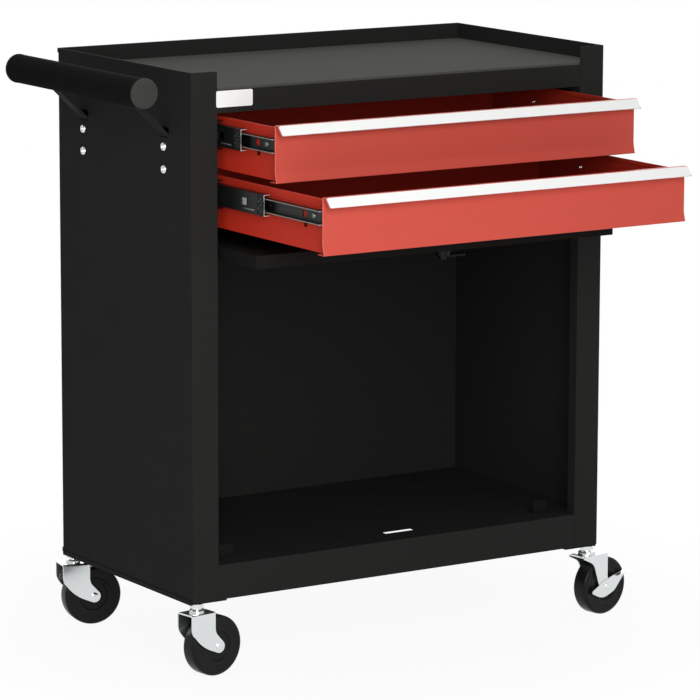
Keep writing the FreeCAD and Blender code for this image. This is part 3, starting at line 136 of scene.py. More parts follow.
@dataclass(frozen=True)
class Finish:
    """A plain surface: one colour with a fine grain of a real size."""

    name: str
    colour: str
    roughness: float
    metallic: float = 0.0
    grain_mm: float = 1.0
    relief_mm: float = 0.01
    mottle: float = 0.0
    mottle_scale: float = 28.0
    specular: float = 0.5

    def build(self) -> bpy.types.Material:
        """Make the node material.

        Returns:
            The new material, or the one that is there already.
        """
        found = bpy.data.materials.get(self.name)
        if found:
            return found
        material = bpy.data.materials.new(self.name)
        material.use_nodes = True
        tree = material.node_tree
        tree.nodes.clear()
        place = add_node(tree, "ShaderNodeTexCoord").outputs["Object"]
        shader = add_node(tree, "ShaderNodeBsdfPrincipled", {
            "Base Color": linear(self.colour), "Roughness": self.roughness,
            "Metallic": self.metallic, "Specular IOR Level": self.specular})
        self.surface(tree, shader, place)
        add_node(tree, "ShaderNodeOutputMaterial", links={"Surface": shader.outputs[0]})
        return material

    def surface(self, tree: Tree, shader: bpy.types.Node, place: Any) -> None:
        """Add the grain.

        Args:
            tree: the material's tree.
            shader: its surface shader.
            place: the Object coordinate socket.
        """
        grain = add_node(tree, "ShaderNodeTexNoise",
                         {"Scale": 1 / (self.grain_mm * MM), "Detail": 3.0, "Roughness": 0.6},
                         {"Vector": place})
        bump = add_node(tree, "ShaderNodeBump",
                        {"Strength": 1.0, "Distance": self.relief_mm * MM},
                        {"Height": grain.outputs["Fac"]})
        tree.links.new(bump.outputs[0], shader.inputs["Normal"])
        if self.mottle:
            cloud = add_node(tree, "ShaderNodeTexNoise", {"Scale": self.mottle_scale, "Detail": 4.0},
                             {"Vector": place})
            span = add_node(tree, "ShaderNodeMapRange", {
                "From Min": 0.3, "From Max": 0.7,
                "To Min": self.roughness - self.mottle, "To Max": self.roughness + self.mottle},
                {"Value": cloud.outputs["Fac"]})
            tree.links.new(span.outputs["Result"], shader.inputs["Roughness"])


@dataclass(frozen=True)
class BrushedFinish(Finish):
    """Metal with drawn lines along one direction."""

    along: Axis = Axis.Y
    line_mm: float = 0.25
    stretch: float = 0.02
    strength: float = 0.6
    smoother: float = 0.06
    rougher: float = 0.1

    def surface(self, tree: Tree, shader: bpy.types.Node, place: Any) -> None:
        """Add lines stretched along one direction.

        Args:
            tree: the material's tree.
            shader: its surface shader.
            place: the Object coordinate socket.
        """
        fine = 1 / (self.line_mm * MM)
        scale = tuple(fine * (self.stretch if part else 1.0) for part in self.along.value[2])
        turned = add_node(tree, "ShaderNodeMapping", {"Scale": scale}, {"Vector": place})
        lines = add_node(tree, "ShaderNodeTexNoise", {"Scale": 1.0, "Detail": 2.0},
                         {"Vector": turned.outputs[0]})
        bump = add_node(tree, "ShaderNodeBump",
                        {"Strength": self.strength, "Distance": self.relief_mm * MM},
                        {"Height": lines.outputs["Fac"]})
        tree.links.new(bump.outputs[0], shader.inputs["Normal"])
        span = add_node(tree, "ShaderNodeMapRange", {
            "To Min": self.roughness - self.smoother, "To Max": self.roughness + self.rougher},
            {"Value": lines.outputs["Fac"]})
        tree.links.new(span.outputs["Result"], shader.inputs["Roughness"])


@dataclass(frozen=True)
class CellFinish(Finish):
    """Closed foam or pebbled rubber: small rounded cells."""

    def surface(self, tree: Tree, shader: bpy.types.Node, place: Any) -> None:
        """Add rounded cells.

        Args:
            tree: the material's tree.
            shader: its surface shader.
            place: the Object coordinate socket.
        """
        cells = add_node(tree, "ShaderNodeTexVoronoi",
                         {"feature": "SMOOTH_F1", "Scale": 1 / (self.grain_mm * MM)}, {"Vector": place})
        bump = add_node(tree, "ShaderNodeBump",
                        {"Strength": 1.0, "Distance": self.relief_mm * MM, "invert": True},
                        {"Height": cells.outputs["Distance"]})
        tree.links.new(bump.outputs[0], shader.inputs["Normal"])


# Black polyester powder coat, baked: nearly matt, with a faint orange peel of about 1.5 mm
BLACK_COAT = Finish("powder_coat_black", "272726", 0.5, grain_mm=1.5, relief_mm=0.01, mottle=0.04,
                    specular=0.012)
# The same coat on the parts inside the cabinet, darker: painted shade
BLACK_PAINTED_SHADE = Finish("powder_coat_black_inside", "1C1C1B", 0.6, grain_mm=1.2, relief_mm=0.015,
                      specular=0.012)
# Red polyester powder coat: smoother than the black, with a slight sheen
RED_COAT = Finish("powder_coat_red", "C83423", 0.4, grain_mm=2.0, relief_mm=0.006, mottle=0.03,
                  specular=0.07)
# The same red inside the boxes, darker: painted shade
RED_PAINTED_SHADE = Finish("powder_coat_red_inside", "982B1E", 0.45, grain_mm=2.0, relief_mm=0.008, specular=0.05)
# The same red, paler, on the rounded edges of the boxes and fronts: a painted highlight
RED_PAINTED_HIGHLIGHT = Finish("powder_coat_red_edge", "EA8A7C", 0.35, grain_mm=2.0, relief_mm=0.004, specular=0.2)
# The same red on the drawer fronts, paler and softer: painted sheen
RED_PAINTED_SHEEN = Finish("powder_coat_red_front", "C65044", 0.42, grain_mm=2.0, relief_mm=0.006, mottle=0.03,
                   specular=0.12)
# Extruded rigid PVC: white, nearly smooth, with a soft gloss
WHITE_PVC = Finish("extruded_pvc_white", "E9EAE8", 0.35, grain_mm=3.0, relief_mm=0.004, specular=0.3)
# Coated polyester film: flat, matt white
WHITE_PLATE = Finish("coated_film_white", "F6F6F3", 0.5, grain_mm=1.0, relief_mm=0.002, specular=0.3)
# EVA foam sheet: dull grey-black with a fine even pebble
EVA_MAT = CellFinish("eva_sheet_charcoal", "4B4B47", 0.85, grain_mm=1.1, relief_mm=0.04, specular=0.03)
# Cold rolled steel in a thin black dip: dark with a metal gleam on its edges
DIPPED_STEEL = BrushedFinish("dipped_steel_black", "151716", 0.34, metallic=0.35, relief_mm=0.008,
                             specular=0.25)
# The same steel where it was cut after the dip: pale and bare
CUT_STEEL = Finish("cut_steel_bright", "E4E6E4", 0.35, metallic=0.7, grain_mm=1.5, relief_mm=0.004)
# Pale grey steel: a painted highlight on the drawer member's rail edges and on the bead of the travelling
# member, and the dull small screws and rivets on the slides
GREY_STEEL_AND_PAINTED_HIGHLIGHT = Finish("worn_steel_grey", "7E837E", 0.4, metallic=0.6, grain_mm=1.5, relief_mm=0.004)
# Stamped bright steel strip of the ball cages
BRIGHT_STEEL = BrushedFinish("stamped_steel_bright", "C9CBCD", 0.28, metallic=1.0, relief_mm=0.008)
# Hardened and ground balls: a clean mirror
BALL_STEEL = Finish("ground_steel_balls", "D9DADC", 0.12, metallic=1.0, grain_mm=2.0, relief_mm=0.0005)
# Electroplated zinc, clear passivated: pale grey, slightly cloudy
ZINC_PLATE = Finish("zinc_plate_clear", "DDE0E1", 0.16, metallic=0.95, grain_mm=0.8, relief_mm=0.003,
                    mottle=0.03)
# Die-cast zinc in a very dark grey: the lock's barrel and cam
DARK_ZINC = Finish("blackened_zinc", "101011", 0.4, metallic=0.2, grain_mm=1.0, relief_mm=0.004,
                        specular=0.15)
# Moulded polyamide: dark with a fine spark-eroded grain
BLACK_NYLON = Finish("moulded_nylon_black", "1B1C1C", 0.5, grain_mm=0.6, relief_mm=0.008, specular=0.15)
# The handle's end caps: the same polyamide in a greyer shade
GREY_NYLON = Finish("moulded_nylon_grey", "3A3A38", 0.6, grain_mm=0.6, relief_mm=0.01, specular=0.08)
# Moulded polypropylene wheel: black with a low gloss
WHEEL_PLASTIC = Finish("moulded_polypropylene_black", "171817", 0.3, grain_mm=0.9, relief_mm=0.008,
                       mottle=0.05, specular=0.12)
# NBR foam tube: very dull, tiny closed cells
GRIP_FOAM = CellFinish("nbr_foam_black", "1A1A19", 0.85, grain_mm=0.8, relief_mm=0.04, specular=0.01)


# Meshes


def new_object(name: str, mesh: bpy.types.Mesh) -> Piece:
    """Put a mesh in the scene as an object at the origin.

    Args:
        name: the object's name.
        mesh: its mesh.

    Returns:
        The new object.
    """
    piece = bpy.data.objects.new(name, mesh)
    bpy.context.scene.collection.objects.link(piece)
    return piece


def written(name: str, shape: bmesh.types.BMesh) -> bpy.types.Mesh:
    """Write a shape to a new mesh.

    Args:
        name: the mesh's name.
        shape: the shape; it is freed.

    Returns:
        The new mesh.
    """
    mesh = bpy.data.meshes.new(name)
    shape.to_mesh(mesh)
    shape.free()
    return mesh


def shade(mesh: bpy.types.Mesh, crisp: float = CRISP) -> None:
    """Shade a mesh smooth, apart from its crisp edges."""
    mesh.shade_smooth()
    mesh.set_sharp_from_angle(angle=math.radians(crisp))


def closed(name: str, shape: bmesh.types.BMesh, crisp: float = CRISP) -> Piece:
    """Close a mesh, turn its faces outwards and shade it.

    Args:
        name: the object's name.
        shape: the mesh being built; it is freed.
        crisp: edges that turn by more than this many degrees stay crisp.

    Returns:
        The new object.
    """
    bmesh.ops.remove_doubles(shape, verts=shape.verts, dist=1e-6)
    bmesh.ops.recalc_face_normals(shape, faces=shape.faces)
    mesh = written(name, shape)
    shade(mesh, crisp)
    return new_object(name, mesh)


def turned(name: str, profile: Outline, axis: Vector, centre: Vector, steps: int = 72) -> Piece:
    """Turn a profile about an axis.

    Args:
        name: the object's name.
        profile: (radius, height along the axis) pairs.
        axis: the direction of the axis.
        centre: the point that heights start from.
        steps: how many faces go round.

    Returns:
        The new object.
    """
    shape = bmesh.new()
    aim = axis.normalized()
    side = aim.orthogonal().normalized()
    rings: list[list[bmesh.types.BMVert]] = []
    for radius, height in profile:
        middle = centre + aim * height
        if radius < 1e-7:
            rings.append([shape.verts.new(middle)])
            continue
        ring = []
        for step in range(steps):
            spin = Matrix.Rotation(2 * math.pi * step / steps, 3, aim)
            ring.append(shape.verts.new(middle + spin @ side * radius))
        rings.append(ring)
    for low, high in zip(rings, rings[1:]):
        for step in range(steps):
            after = (step + 1) % steps
            corners = [low[step % len(low)], low[after % len(low)],
                       high[after % len(high)], high[step % len(high)]]
            unique = list(dict.fromkeys(corners))
            if len(unique) > 2:
                shape.faces.new(unique)
    return closed(name, shape)


def ring_profile(profile: Outline) -> list[tuple[float, float]]:
    """Close a profile that goes round a hole."""
    return [*profile, profile[0]]


def drawn_out(name: str, outline: Outline, axis: Axis, low: float, high: float,
              bevel: float = 0.0) -> Piece:
    """Draw an outline out along an axis.

    Args:
        name: the object's name.
        outline: corners in the two other directions.
        axis: the direction.
        low: where it starts.
        high: where it ends.
        bevel: width of the broken edges.

    Returns:
        The new object.
    """
    across, up, along = axis.value
    shape = bmesh.new()
    ends = []
    for height in (low, high):
        ends.append([shape.verts.new(across * a + up * b + along * height) for a, b in outline])
    count = len(outline)
    shape.faces.new(ends[0])
    shape.faces.new(list(reversed(ends[1])))
    for index in range(count):
        after = (index + 1) % count
        shape.faces.new([ends[0][after], ends[0][index], ends[1][index], ends[1][after]])
    if bevel:
        bmesh.ops.recalc_face_normals(shape, faces=shape.faces)
        bmesh.ops.bevel(shape, geom=list(shape.edges), offset=bevel, segments=2,
                        affect="EDGES", profile=0.5, clamp_overlap=True)
    return closed(name, shape)


def rounded_box(name: str, low: Point, high: Point, bevel: float) -> Piece:
    """Make a box with broken edges."""
    outline = [(low[0], low[1]), (high[0], low[1]), (high[0], high[1]), (low[0], high[1])]
    return drawn_out(name, outline, Axis.Z, low[2], high[2], bevel)


def apply_modifiers(piece: Piece) -> Piece:
    """Turn what the modifiers give into a plain mesh and drop them.

    Args:
        piece: the object.

    Returns:
        The same object.
    """
    bpy.context.view_layer.update()
    graph = bpy.context.evaluated_depsgraph_get()
    mesh = bpy.data.meshes.new_from_object(piece.evaluated_get(graph), depsgraph=graph)
    piece.modifiers.clear()
    piece.data = mesh
    return piece


def cut_out(piece: Piece, cutter: Piece) -> None:
    """Cut one object out of another and remove it.

    Args:
        piece: the object that is cut.
        cutter: what is taken out of it.
    """
    cut = piece.modifiers.new("cut", "BOOLEAN")
    cut.operation = "DIFFERENCE"
    cut.solver = "EXACT"
    cut.object = cutter
    apply_modifiers(piece)
    bpy.data.objects.remove(cutter)


def softened(node: str, width_mm: float = 0.3, segments: int = 2) -> Piece:
    """Copy a CAD node and break its sharp edges, as a press or a coat of powder does.

    Args:
        node: the CAD node's name.
        width_mm: width of the broken edge.
        segments: faces across it.

    Returns:
        The new object, still with no body.
    """
    source = FRAME["nodes"][node]
    shape = bmesh.new()
    shape.from_mesh(source.data)
    shape.transform(source.matrix_world)
    bmesh.ops.remove_doubles(shape, verts=shape.verts, dist=2e-6)
    bmesh.ops.dissolve_limit(shape, angle_limit=math.radians(0.6), verts=shape.verts, edges=shape.edges)
    bmesh.ops.triangulate(shape, faces=[face for face in shape.faces if len(face.verts) > 4])
    mesh = written(node + "_dressed", shape)
    mesh.shade_smooth()
    piece = new_object(node + "_dressed", mesh)
    bevel = piece.modifiers.new("broken_edges", "BEVEL")
    bevel.width = width_mm * MM
    bevel.segments = segments
    bevel.limit_method = "ANGLE"
    bevel.angle_limit = math.radians(35)
    bevel.use_clamp_overlap = True
    bevel.miter_outer = "MITER_ARC"
    bevel.harden_normals = True
    even = piece.modifiers.new("even_shading", "WEIGHTED_NORMAL")
    even.mode = "FACE_AREA"
    return apply_modifiers(piece)


def settle(piece: Piece, body: str, finish: Finish, instead_of: Sequence[str] = ()) -> Piece:
    """Give a piece its finish and its body, in the place of CAD nodes if any are named.

    Args:
        piece: the object.
        body: the CAD body that it rides on.
        finish: its surface.
        instead_of: CAD nodes that it stands for.

    Returns:
        The same object.
    """
    piece.data.materials.clear()
    piece.data.materials.append(finish.build())
    LOG.info("%s in %s on %s", piece.name, finish.name, body)
    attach(piece, body)
    if instead_of:
        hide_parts(*instead_of)
    return piece


def dress(node: str, body: str, finish: Finish, width_mm: float = 0.3, segments: int = 2) -> Piece:
    """Put a softened copy in the place of a CAD node.

    Args:
        node: the CAD node's name.
        body: the CAD body that it rides on.
        finish: its surface.
        width_mm: width of the broken edges.
        segments: faces across them.

    Returns:
        The new object.
    """
    return settle(softened(node, width_mm, segments), body, finish, [node])


def refinish(piece: Piece, finish: Finish, chosen: FaceTest) -> None:
    """Give chosen faces of a piece another finish.

    Args:
        piece: the object, with its first finish already on.
        finish: the other finish.
        chosen: says whether a face is one of them.
    """
    piece.data.materials.append(finish.build())
    for face in piece.data.polygons:
        if chosen(face):
            face.material_index = len(piece.data.materials) - 1


def merge(name: str, pieces: Sequence[Piece]) -> Piece:
    """Join objects of one finish into one mesh.

    Args:
        name: the new object's name.
        pieces: the objects; they are removed.

    Returns:
        The joined object.
    """
    shape = bmesh.new()
    for piece in pieces:
        shape.from_mesh(piece.data)
    mesh = written(name, shape)
    for piece in pieces:
        bpy.data.objects.remove(piece)
    shade(mesh)
    return new_object(name, mesh)


@dataclass
class Row:
    """A straight row of one shape, laid out by a geometry node tree."""

    name: str
    shape: Piece
    count: int
    start: Vector
    step: Vector
    finish: Finish
    turn: Euler = field(default_factory=lambda: Euler((0, 0, 0)))

    def tree(self) -> Tree:
        """Build the tree that puts the shape at each point of a line.

        Returns:
            The tree, with its sizes as named inputs.
        """
        tree = bpy.data.node_groups.new("row_of_shapes", "GeometryNodeTree")
        sockets = (("Shape", "NodeSocketObject"), ("Count", "NodeSocketInt"),
                   ("Start", "NodeSocketVector"), ("Step", "NodeSocketVector"),
                   ("Turn", "NodeSocketVector"), ("Finish", "NodeSocketMaterial"))
        for label, kind in sockets:
            tree.interface.new_socket(label, in_out="INPUT", socket_type=kind)
        tree.interface.new_socket("Geometry", in_out="OUTPUT", socket_type="NodeSocketGeometry")
        given = add_node(tree, "NodeGroupInput").outputs
        line = add_node(tree, "GeometryNodeMeshLine", {"mode": "OFFSET"}, {
            "Count": given["Count"], "Start Location": given["Start"], "Offset": given["Step"]})
        part = add_node(tree, "GeometryNodeObjectInfo", links={"Object": given["Shape"]})
        spread = add_node(tree, "GeometryNodeInstanceOnPoints", links={
            "Points": line.outputs["Mesh"], "Instance": part.outputs["Geometry"],
            "Rotation": given["Turn"]})
        real = add_node(tree, "GeometryNodeRealizeInstances", links={"Geometry": spread.outputs[0]})
        painted = add_node(tree, "GeometryNodeSetMaterial", links={
            "Geometry": real.outputs[0], "Material": given["Finish"]})
        add_node(tree, "NodeGroupOutput", links={"Geometry": painted.outputs[0]})
        return tree

    def build(self) -> Piece:
        """Lay the row out and turn it into a plain mesh.

        Returns:
            The new object.
        """
        tree = bpy.data.node_groups.get("row_of_shapes") or self.tree()
        piece = new_object(self.name, bpy.data.meshes.new(self.name))
        maker = piece.modifiers.new("row", "NODES")
        maker.node_group = tree
        given = {"Shape": self.shape, "Count": self.count, "Start": tuple(self.start),
                 "Step": tuple(self.step), "Turn": tuple(self.turn), "Finish": self.finish.build()}
        for item in tree.interface.items_tree:
            if item.in_out == "INPUT":
                maker[item.identifier] = given[item.name]
        return apply_modifiers(piece)


@dataclass
class PanHead:
    """A pan-head screw with a cross recess, its seat at the origin and its head along +Z."""

    radius: float = 3.4 * MM
    height: float = 2.0 * MM
    steps: int = 32
    cross: float = 0.45
    slot_width: float = 0.9 * MM
    slot_depth: float = 0.9 * MM

    def build(self) -> Piece:
        """Make the head, with the cross cut in.

        Returns:
            The new object.
        """
        rim = self.radius
        top = self.height
        profile = [(0.0, 0.0), (rim, 0.0), (rim, top * 0.25), (rim * 0.96, top * 0.55),
                   (rim * 0.82, top * 0.85), (rim * 0.55, top), (0.0, top)]
        head = turned("pan_head", profile, Vector((0, 0, 1)), Vector((0, 0, 0)), self.steps)
        for turn in (0.0, math.pi / 2):
            half = self.cross * rim
            cutter = rounded_box("cross", (-half, -self.slot_width / 2, top - self.slot_depth),
                                 (half, self.slot_width / 2, top + MM), 0.0)
            cutter.data.transform(Matrix.Rotation(turn, 4, "Z"))
            cut_out(head, cutter)
        shade(head.data)
        return head


# The cabinet's sub-assemblies


@dataclass
class Shell:
    """The folded steel cabinet, its tray mat and the bare plate on its front rail."""

    edge_mm: float = 0.35
    plate_width: float = 51.0 * MM
    plate_height: float = 20.0 * MM
    plate_corner: float = 2.2 * MM
    plate_thickness: float = 0.7 * MM
    plate_steps: int = 6
    plate_inset: float = 1.4 * MM
    plate_drop: float = 0.6 * MM
    seam_gap: float = 0.28 * MM
    seam_reach: float = 0.6 * MM

    def build(self) -> None:
        """Dress the shell's nodes and add the plate."""
        outside = ("side_panel_left", "side_panel_right", "back_panel", "base_pan", "top_tray")
        for node in outside:
            piece = dress(node, "cabinet", BLACK_COAT, self.edge_mm)
            if node.startswith("side_panel"):
                self.close_seam(piece)
        # Painted shade: the carriers, door stops and door guides inside the cabinet take the darker black
        for node in ("slide_carrier_left", "slide_carrier_right", "door_stops"):
            dress(node, "cabinet", BLACK_PAINTED_SHADE, self.edge_mm)
        for node in ("door_guide_left", "door_guide_right"):
            dress(node, "cabinet", BLACK_PAINTED_SHADE, 0.2)
        dress("corner_plates", "cabinet", BLACK_COAT, 0.3)
        dress("top_mat", "cabinet", EVA_MAT, 0.9, 3)
        self.plate()

    def close_seam(self, panel: Piece) -> None:
        """Bring a side panel up to the rear panel, so that no light comes through the seam.

        Args:
            panel: the dressed side panel.
        """
        rear = max(vertex.co.y for vertex in panel.data.vertices)
        for vertex in panel.data.vertices:
            if vertex.co.y > rear - self.seam_reach:
                vertex.co.y += self.seam_gap

    def plate(self) -> None:
        """Add the bare white plate at the left end of the front rail."""
        rail_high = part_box("top_tray")[1]
        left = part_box("side_panel_left")[1][0] - self.plate_inset
        low = rail_high[2] - self.plate_height - self.plate_drop
        outline = []
        corner = self.plate_corner
        spots = ((self.plate_width - corner, self.plate_height - corner, 0),
                 (corner, self.plate_height - corner, 90), (corner, corner, 180),
                 (self.plate_width - corner, corner, 270))
        for x, z, start in spots:
            for step in range(self.plate_steps + 1):
                angle = math.radians(start + 90 * step / self.plate_steps)
                outline.append((left + x + corner * math.cos(angle), low + z + corner * math.sin(angle)))
        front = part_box("side_panel_left")[0][1]
        plate = drawn_out("bare_plate", outline, Axis.Y, front - self.plate_thickness, front)
        settle(plate, "cabinet", WHITE_PLATE)


@dataclass
class Slide:
    """One telescopic slide: its three members, its screws and what the travelling member carries."""

    drawer: str
    hand: Hand
    screw_front: float = 22.0 * MM
    screw_spacing: float = 178.0 * MM
    web: float = 1.2 * MM
    box_wall: float = 0.9 * MM
    cut_reach: float = 0.4 * MM
    rail_reach: float = 0.3 * MM
    end_length: float = 15.0 * MM
    end_depth: float = 0.2 * MM
    end_setback: float = 0.4 * MM
    end_margin: float = 0.8 * MM
    end_edge: float = 0.05 * MM
    nose_reach: float = 0.5 * MM
    nose_length: float = 1.5 * MM
    rib_depth: float = 0.3 * MM
    rib_share: float = 0.45
    ribs: int = 4
    bead_start: float = 22.0 * MM
    bead_length: float = 24.0 * MM
    bead_height: float = 1.3 * MM
    bead_level: float = 0.17
    bead_rise: float = 0.35 * MM
    bead_sink: float = 0.2 * MM
    bead_edge: float = 0.15 * MM
    rivet_radius: float = 0.8 * MM
    rivet_rise: float = 0.26 * MM
    rivet_sink: float = 0.2 * MM
    rivet_steps: int = 12
    rivet_columns: tuple[tuple[float, int], ...] = ((2.6 * MM, 2), (7.0 * MM, 3), (11.2 * MM, 2))

    def build(self) -> None:
        """Dress the members and add what is fixed on them."""
        stem = f"{self.drawer}_{self.hand.word}_slide_"
        fixed, middle, inner = stem + "fixed", stem + "middle", stem + "inner"
        dress(fixed, "cabinet", DIPPED_STEEL, 0.25)
        for node, body, width in ((middle, "_middle_members", 0.5), (inner, "_drawer", 0.25)):
            piece = dress(node, self.drawer + body, DIPPED_STEEL, width, 3)
            low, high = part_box(node)
            if node == inner:
                # Painted highlight: the outer edges of the drawer member's rails in pale grey steel
                refinish(piece, GREY_STEEL_AND_PAINTED_HIGHLIGHT, self.on_rail(low[0] if self.hand.value < 0 else high[0]))
            refinish(piece, CUT_STEEL, self.on_cut(low[1]))
        self.screws(inner)
        self.end_piece(middle)
        self.bead(middle)

    def on_cut(self, front: float) -> FaceTest:
        """Return a test for the faces of a member's cut end, which lies at this Y."""
        return lambda face: face.center.y < front + self.cut_reach and face.normal.y < -0.4

    def on_rail(self, edge: float) -> FaceTest:
        """Return a test for the outer edges of a member's rails, which lie at this X."""
        side = self.hand.value
        return lambda face: abs(face.center.x - edge) < self.rail_reach and face.normal.x * side > 0.5

    def screws(self, inner: str) -> None:
        """Add the screws that hold the drawer member to the box, with their nuts inside it.

        Args:
            inner: the drawer member's CAD node.
        """
        low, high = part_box(inner)
        side = self.hand.value
        face = high[0] - self.web if side < 0 else low[0] + self.web
        middle = (low[2] + high[2]) / 2
        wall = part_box(self.drawer + "_drawer_box")[1][0] - self.box_wall
        head = PanHead().build()
        for kind, place, turn, finish in (("_screws", face, 90, GREY_STEEL_AND_PAINTED_HIGHLIGHT),
                                          ("_nuts", side * wall, -90, ZINC_PLATE)):
            row = Row(inner + kind, head, 2, Vector((place, low[1] + self.screw_front, middle)),
                      Vector((0, self.screw_spacing, 0)), finish, Euler((0, math.radians(turn) * side, 0)))
            settle(row.build(), self.drawer + "_drawer", finish)
        bpy.data.objects.remove(head)

    def end_piece(self, middle: str) -> None:
        """Add the ribbed plastic end piece on the outer face of the travelling member.

        Args:
            middle: the travelling member's CAD node.
        """
        low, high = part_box(middle)
        side = self.hand.value
        face = low[0] if side < 0 else high[0]
        bottom, top = low[2] + self.end_margin, high[2] - self.end_margin

        def slab(front: float, rear: float, proud: float) -> Piece:
            """Lay a slab on the member's face, from front to rear and so far proud."""
            outer = face + side * proud
            return rounded_box("slab", (min(face, outer), front, bottom), (max(face, outer), rear, top),
                               self.end_edge)

        pieces = [slab(low[1] + self.end_setback, low[1] + self.end_length, self.end_depth)]
        pitch = self.end_length / self.ribs
        for index in range(self.ribs):
            front = low[1] + self.end_margin + index * pitch
            pieces.append(slab(front, front + pitch * self.rib_share, self.end_depth + self.rib_depth))
        span = top - bottom
        tip = low[1] - self.nose_reach
        nose = slab(tip, tip + self.nose_length, self.end_depth)
        for vertex in nose.data.vertices:
            vertex.co.z = bottom + span * 0.3 + (vertex.co.z - bottom) * 0.4
        pieces.append(nose)
        settle(merge(middle + "_end_piece", pieces), self.drawer + "_middle_members", BLACK_NYLON)
        self.rivets(middle, face + side * self.end_depth, bottom, span)

    def rivets(self, middle: str, face: float, bottom: float, span: float) -> None:
        """Add the small flat rivets of the end piece.

        Args:
            middle: the travelling member's CAD node.
            face: where they stand proud, along X.
            bottom: the end piece's lower edge.
            span: its height.
        """
        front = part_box(middle)[0][1]
        side = self.hand.value
        rim, rise = self.rivet_radius, self.rivet_rise
        profile = [(0.0, -self.rivet_sink), (rim, -self.rivet_sink), (rim, rise * 0.46),
                   (rim * 0.56, rise * 0.92), (0.0, rise)]
        head = turned("rivet", profile, Vector((side, 0, 0)), Vector((0, 0, 0)), self.rivet_steps)
        columns = []
        for setback, count in self.rivet_columns:
            pitch = span * (0.31 if count > 2 else 0.34)
            start = Vector((face, front + setback, bottom + span / 2 - pitch * (count - 1) / 2))
            columns.append(Row("rivets", head, count, start, Vector((0, 0, pitch)), GREY_STEEL_AND_PAINTED_HIGHLIGHT).build())
        bpy.data.objects.remove(head)
        settle(merge(middle + "_rivets", columns), self.drawer + "_middle_members", GREY_STEEL_AND_PAINTED_HIGHLIGHT)

    def bead(self, middle: str) -> None:
        """Add the short pressed bead low on the travelling member, in pale grey steel: a painted highlight
        line.

        Args:
            middle: the travelling member's CAD node.
        """
        low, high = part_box(middle)
        side = self.hand.value
        face = low[0] if side < 0 else high[0]
        front, level = low[1] + self.bead_start, low[2] + (high[2] - low[2]) * self.bead_level
        inner, outer = face - side * self.bead_sink, face + side * self.bead_rise
        piece = rounded_box(middle + "_bead", (min(inner, outer), front, level),
                            (max(inner, outer), front + self.bead_length, level + self.bead_height),
                            self.bead_edge)
        # Painted highlight: the bead in pale grey steel
        settle(piece, self.drawer + "_middle_members", GREY_STEEL_AND_PAINTED_HIGHLIGHT)


@dataclass
class BallCages:
    """The strips and balls that run between two members of a drawer's slides."""

    drawer: str
    level: str
    gap: float = 3.2 * MM
    strip: float = 0.7 * MM
    web: float = 0.6 * MM
    pitch: float = 8.0 * MM
    count: int = 11
    first: float = 5.0 * MM
    play: float = 0.02 * MM

    def build(self) -> None:
        """Draw the strips and lay the balls out in four rows."""
        node = f"{self.drawer}_{self.level}_cages"
        body = f"{self.drawer}_{self.level}_ball_cages"
        low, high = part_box(node)
        centre = (low[2] + high[2]) / 2
        row_height = (high[2] - low[2]) / 2 - self.gap / 2
        far = high[0]
        near = min(abs(vertex.co.x) for vertex in FRAME["nodes"][node].data.vertices)
        ball = self.ball()
        strips, balls = [], []
        for side in (-1, 1):
            strips.append(self.channel(side, near, far, centre, row_height, low[1], high[1]))
            for end in (-1, 1):
                start = Vector((side * (near + self.gap), low[1] + self.first, centre + end * row_height))
                step = Vector((0, self.pitch, 0))
                balls.append(Row("balls", ball, self.count, start, step, BALL_STEEL).build())
        bpy.data.objects.remove(ball)
        settle(merge(node + "_dressed", strips), body, BRIGHT_STEEL, [node])
        settle(merge(node + "_balls", balls), body, BALL_STEEL)

    def ball(self) -> Piece:
        """Make one ball from a few faces, all of them smooth.

        Returns:
            The new object.
        """
        shape = bmesh.new()
        bmesh.ops.create_icosphere(shape, subdivisions=2, radius=self.gap / 2 - self.play)
        return closed("ball", shape, crisp=60.0)

    def channel(self, side: int, near: float, far: float, centre: float, row_height: float,
                front: float, rear: float) -> Piece:
        """Draw one thin channel: a web on the outer side and a strip through each row of balls.

        Args:
            side: -1 on the left, 1 on the right.
            near: its inner edge, out from the middle.
            far: its outer face, out from the middle.
            centre: the height of its middle.
            row_height: each row of balls above or below that.
            front: where it starts along Y.
            rear: where it ends.

        Returns:
            The new object.
        """
        outer, inner = row_height + self.strip / 2, row_height - self.strip / 2
        web = far - self.web
        outline = [(far, outer), (near, outer), (near, inner), (web, inner),
                   (web, -inner), (near, -inner), (near, -outer), (far, -outer)]
        return drawn_out("strip", [(side * x, centre + z) for x, z in outline], Axis.Y, front, rear)


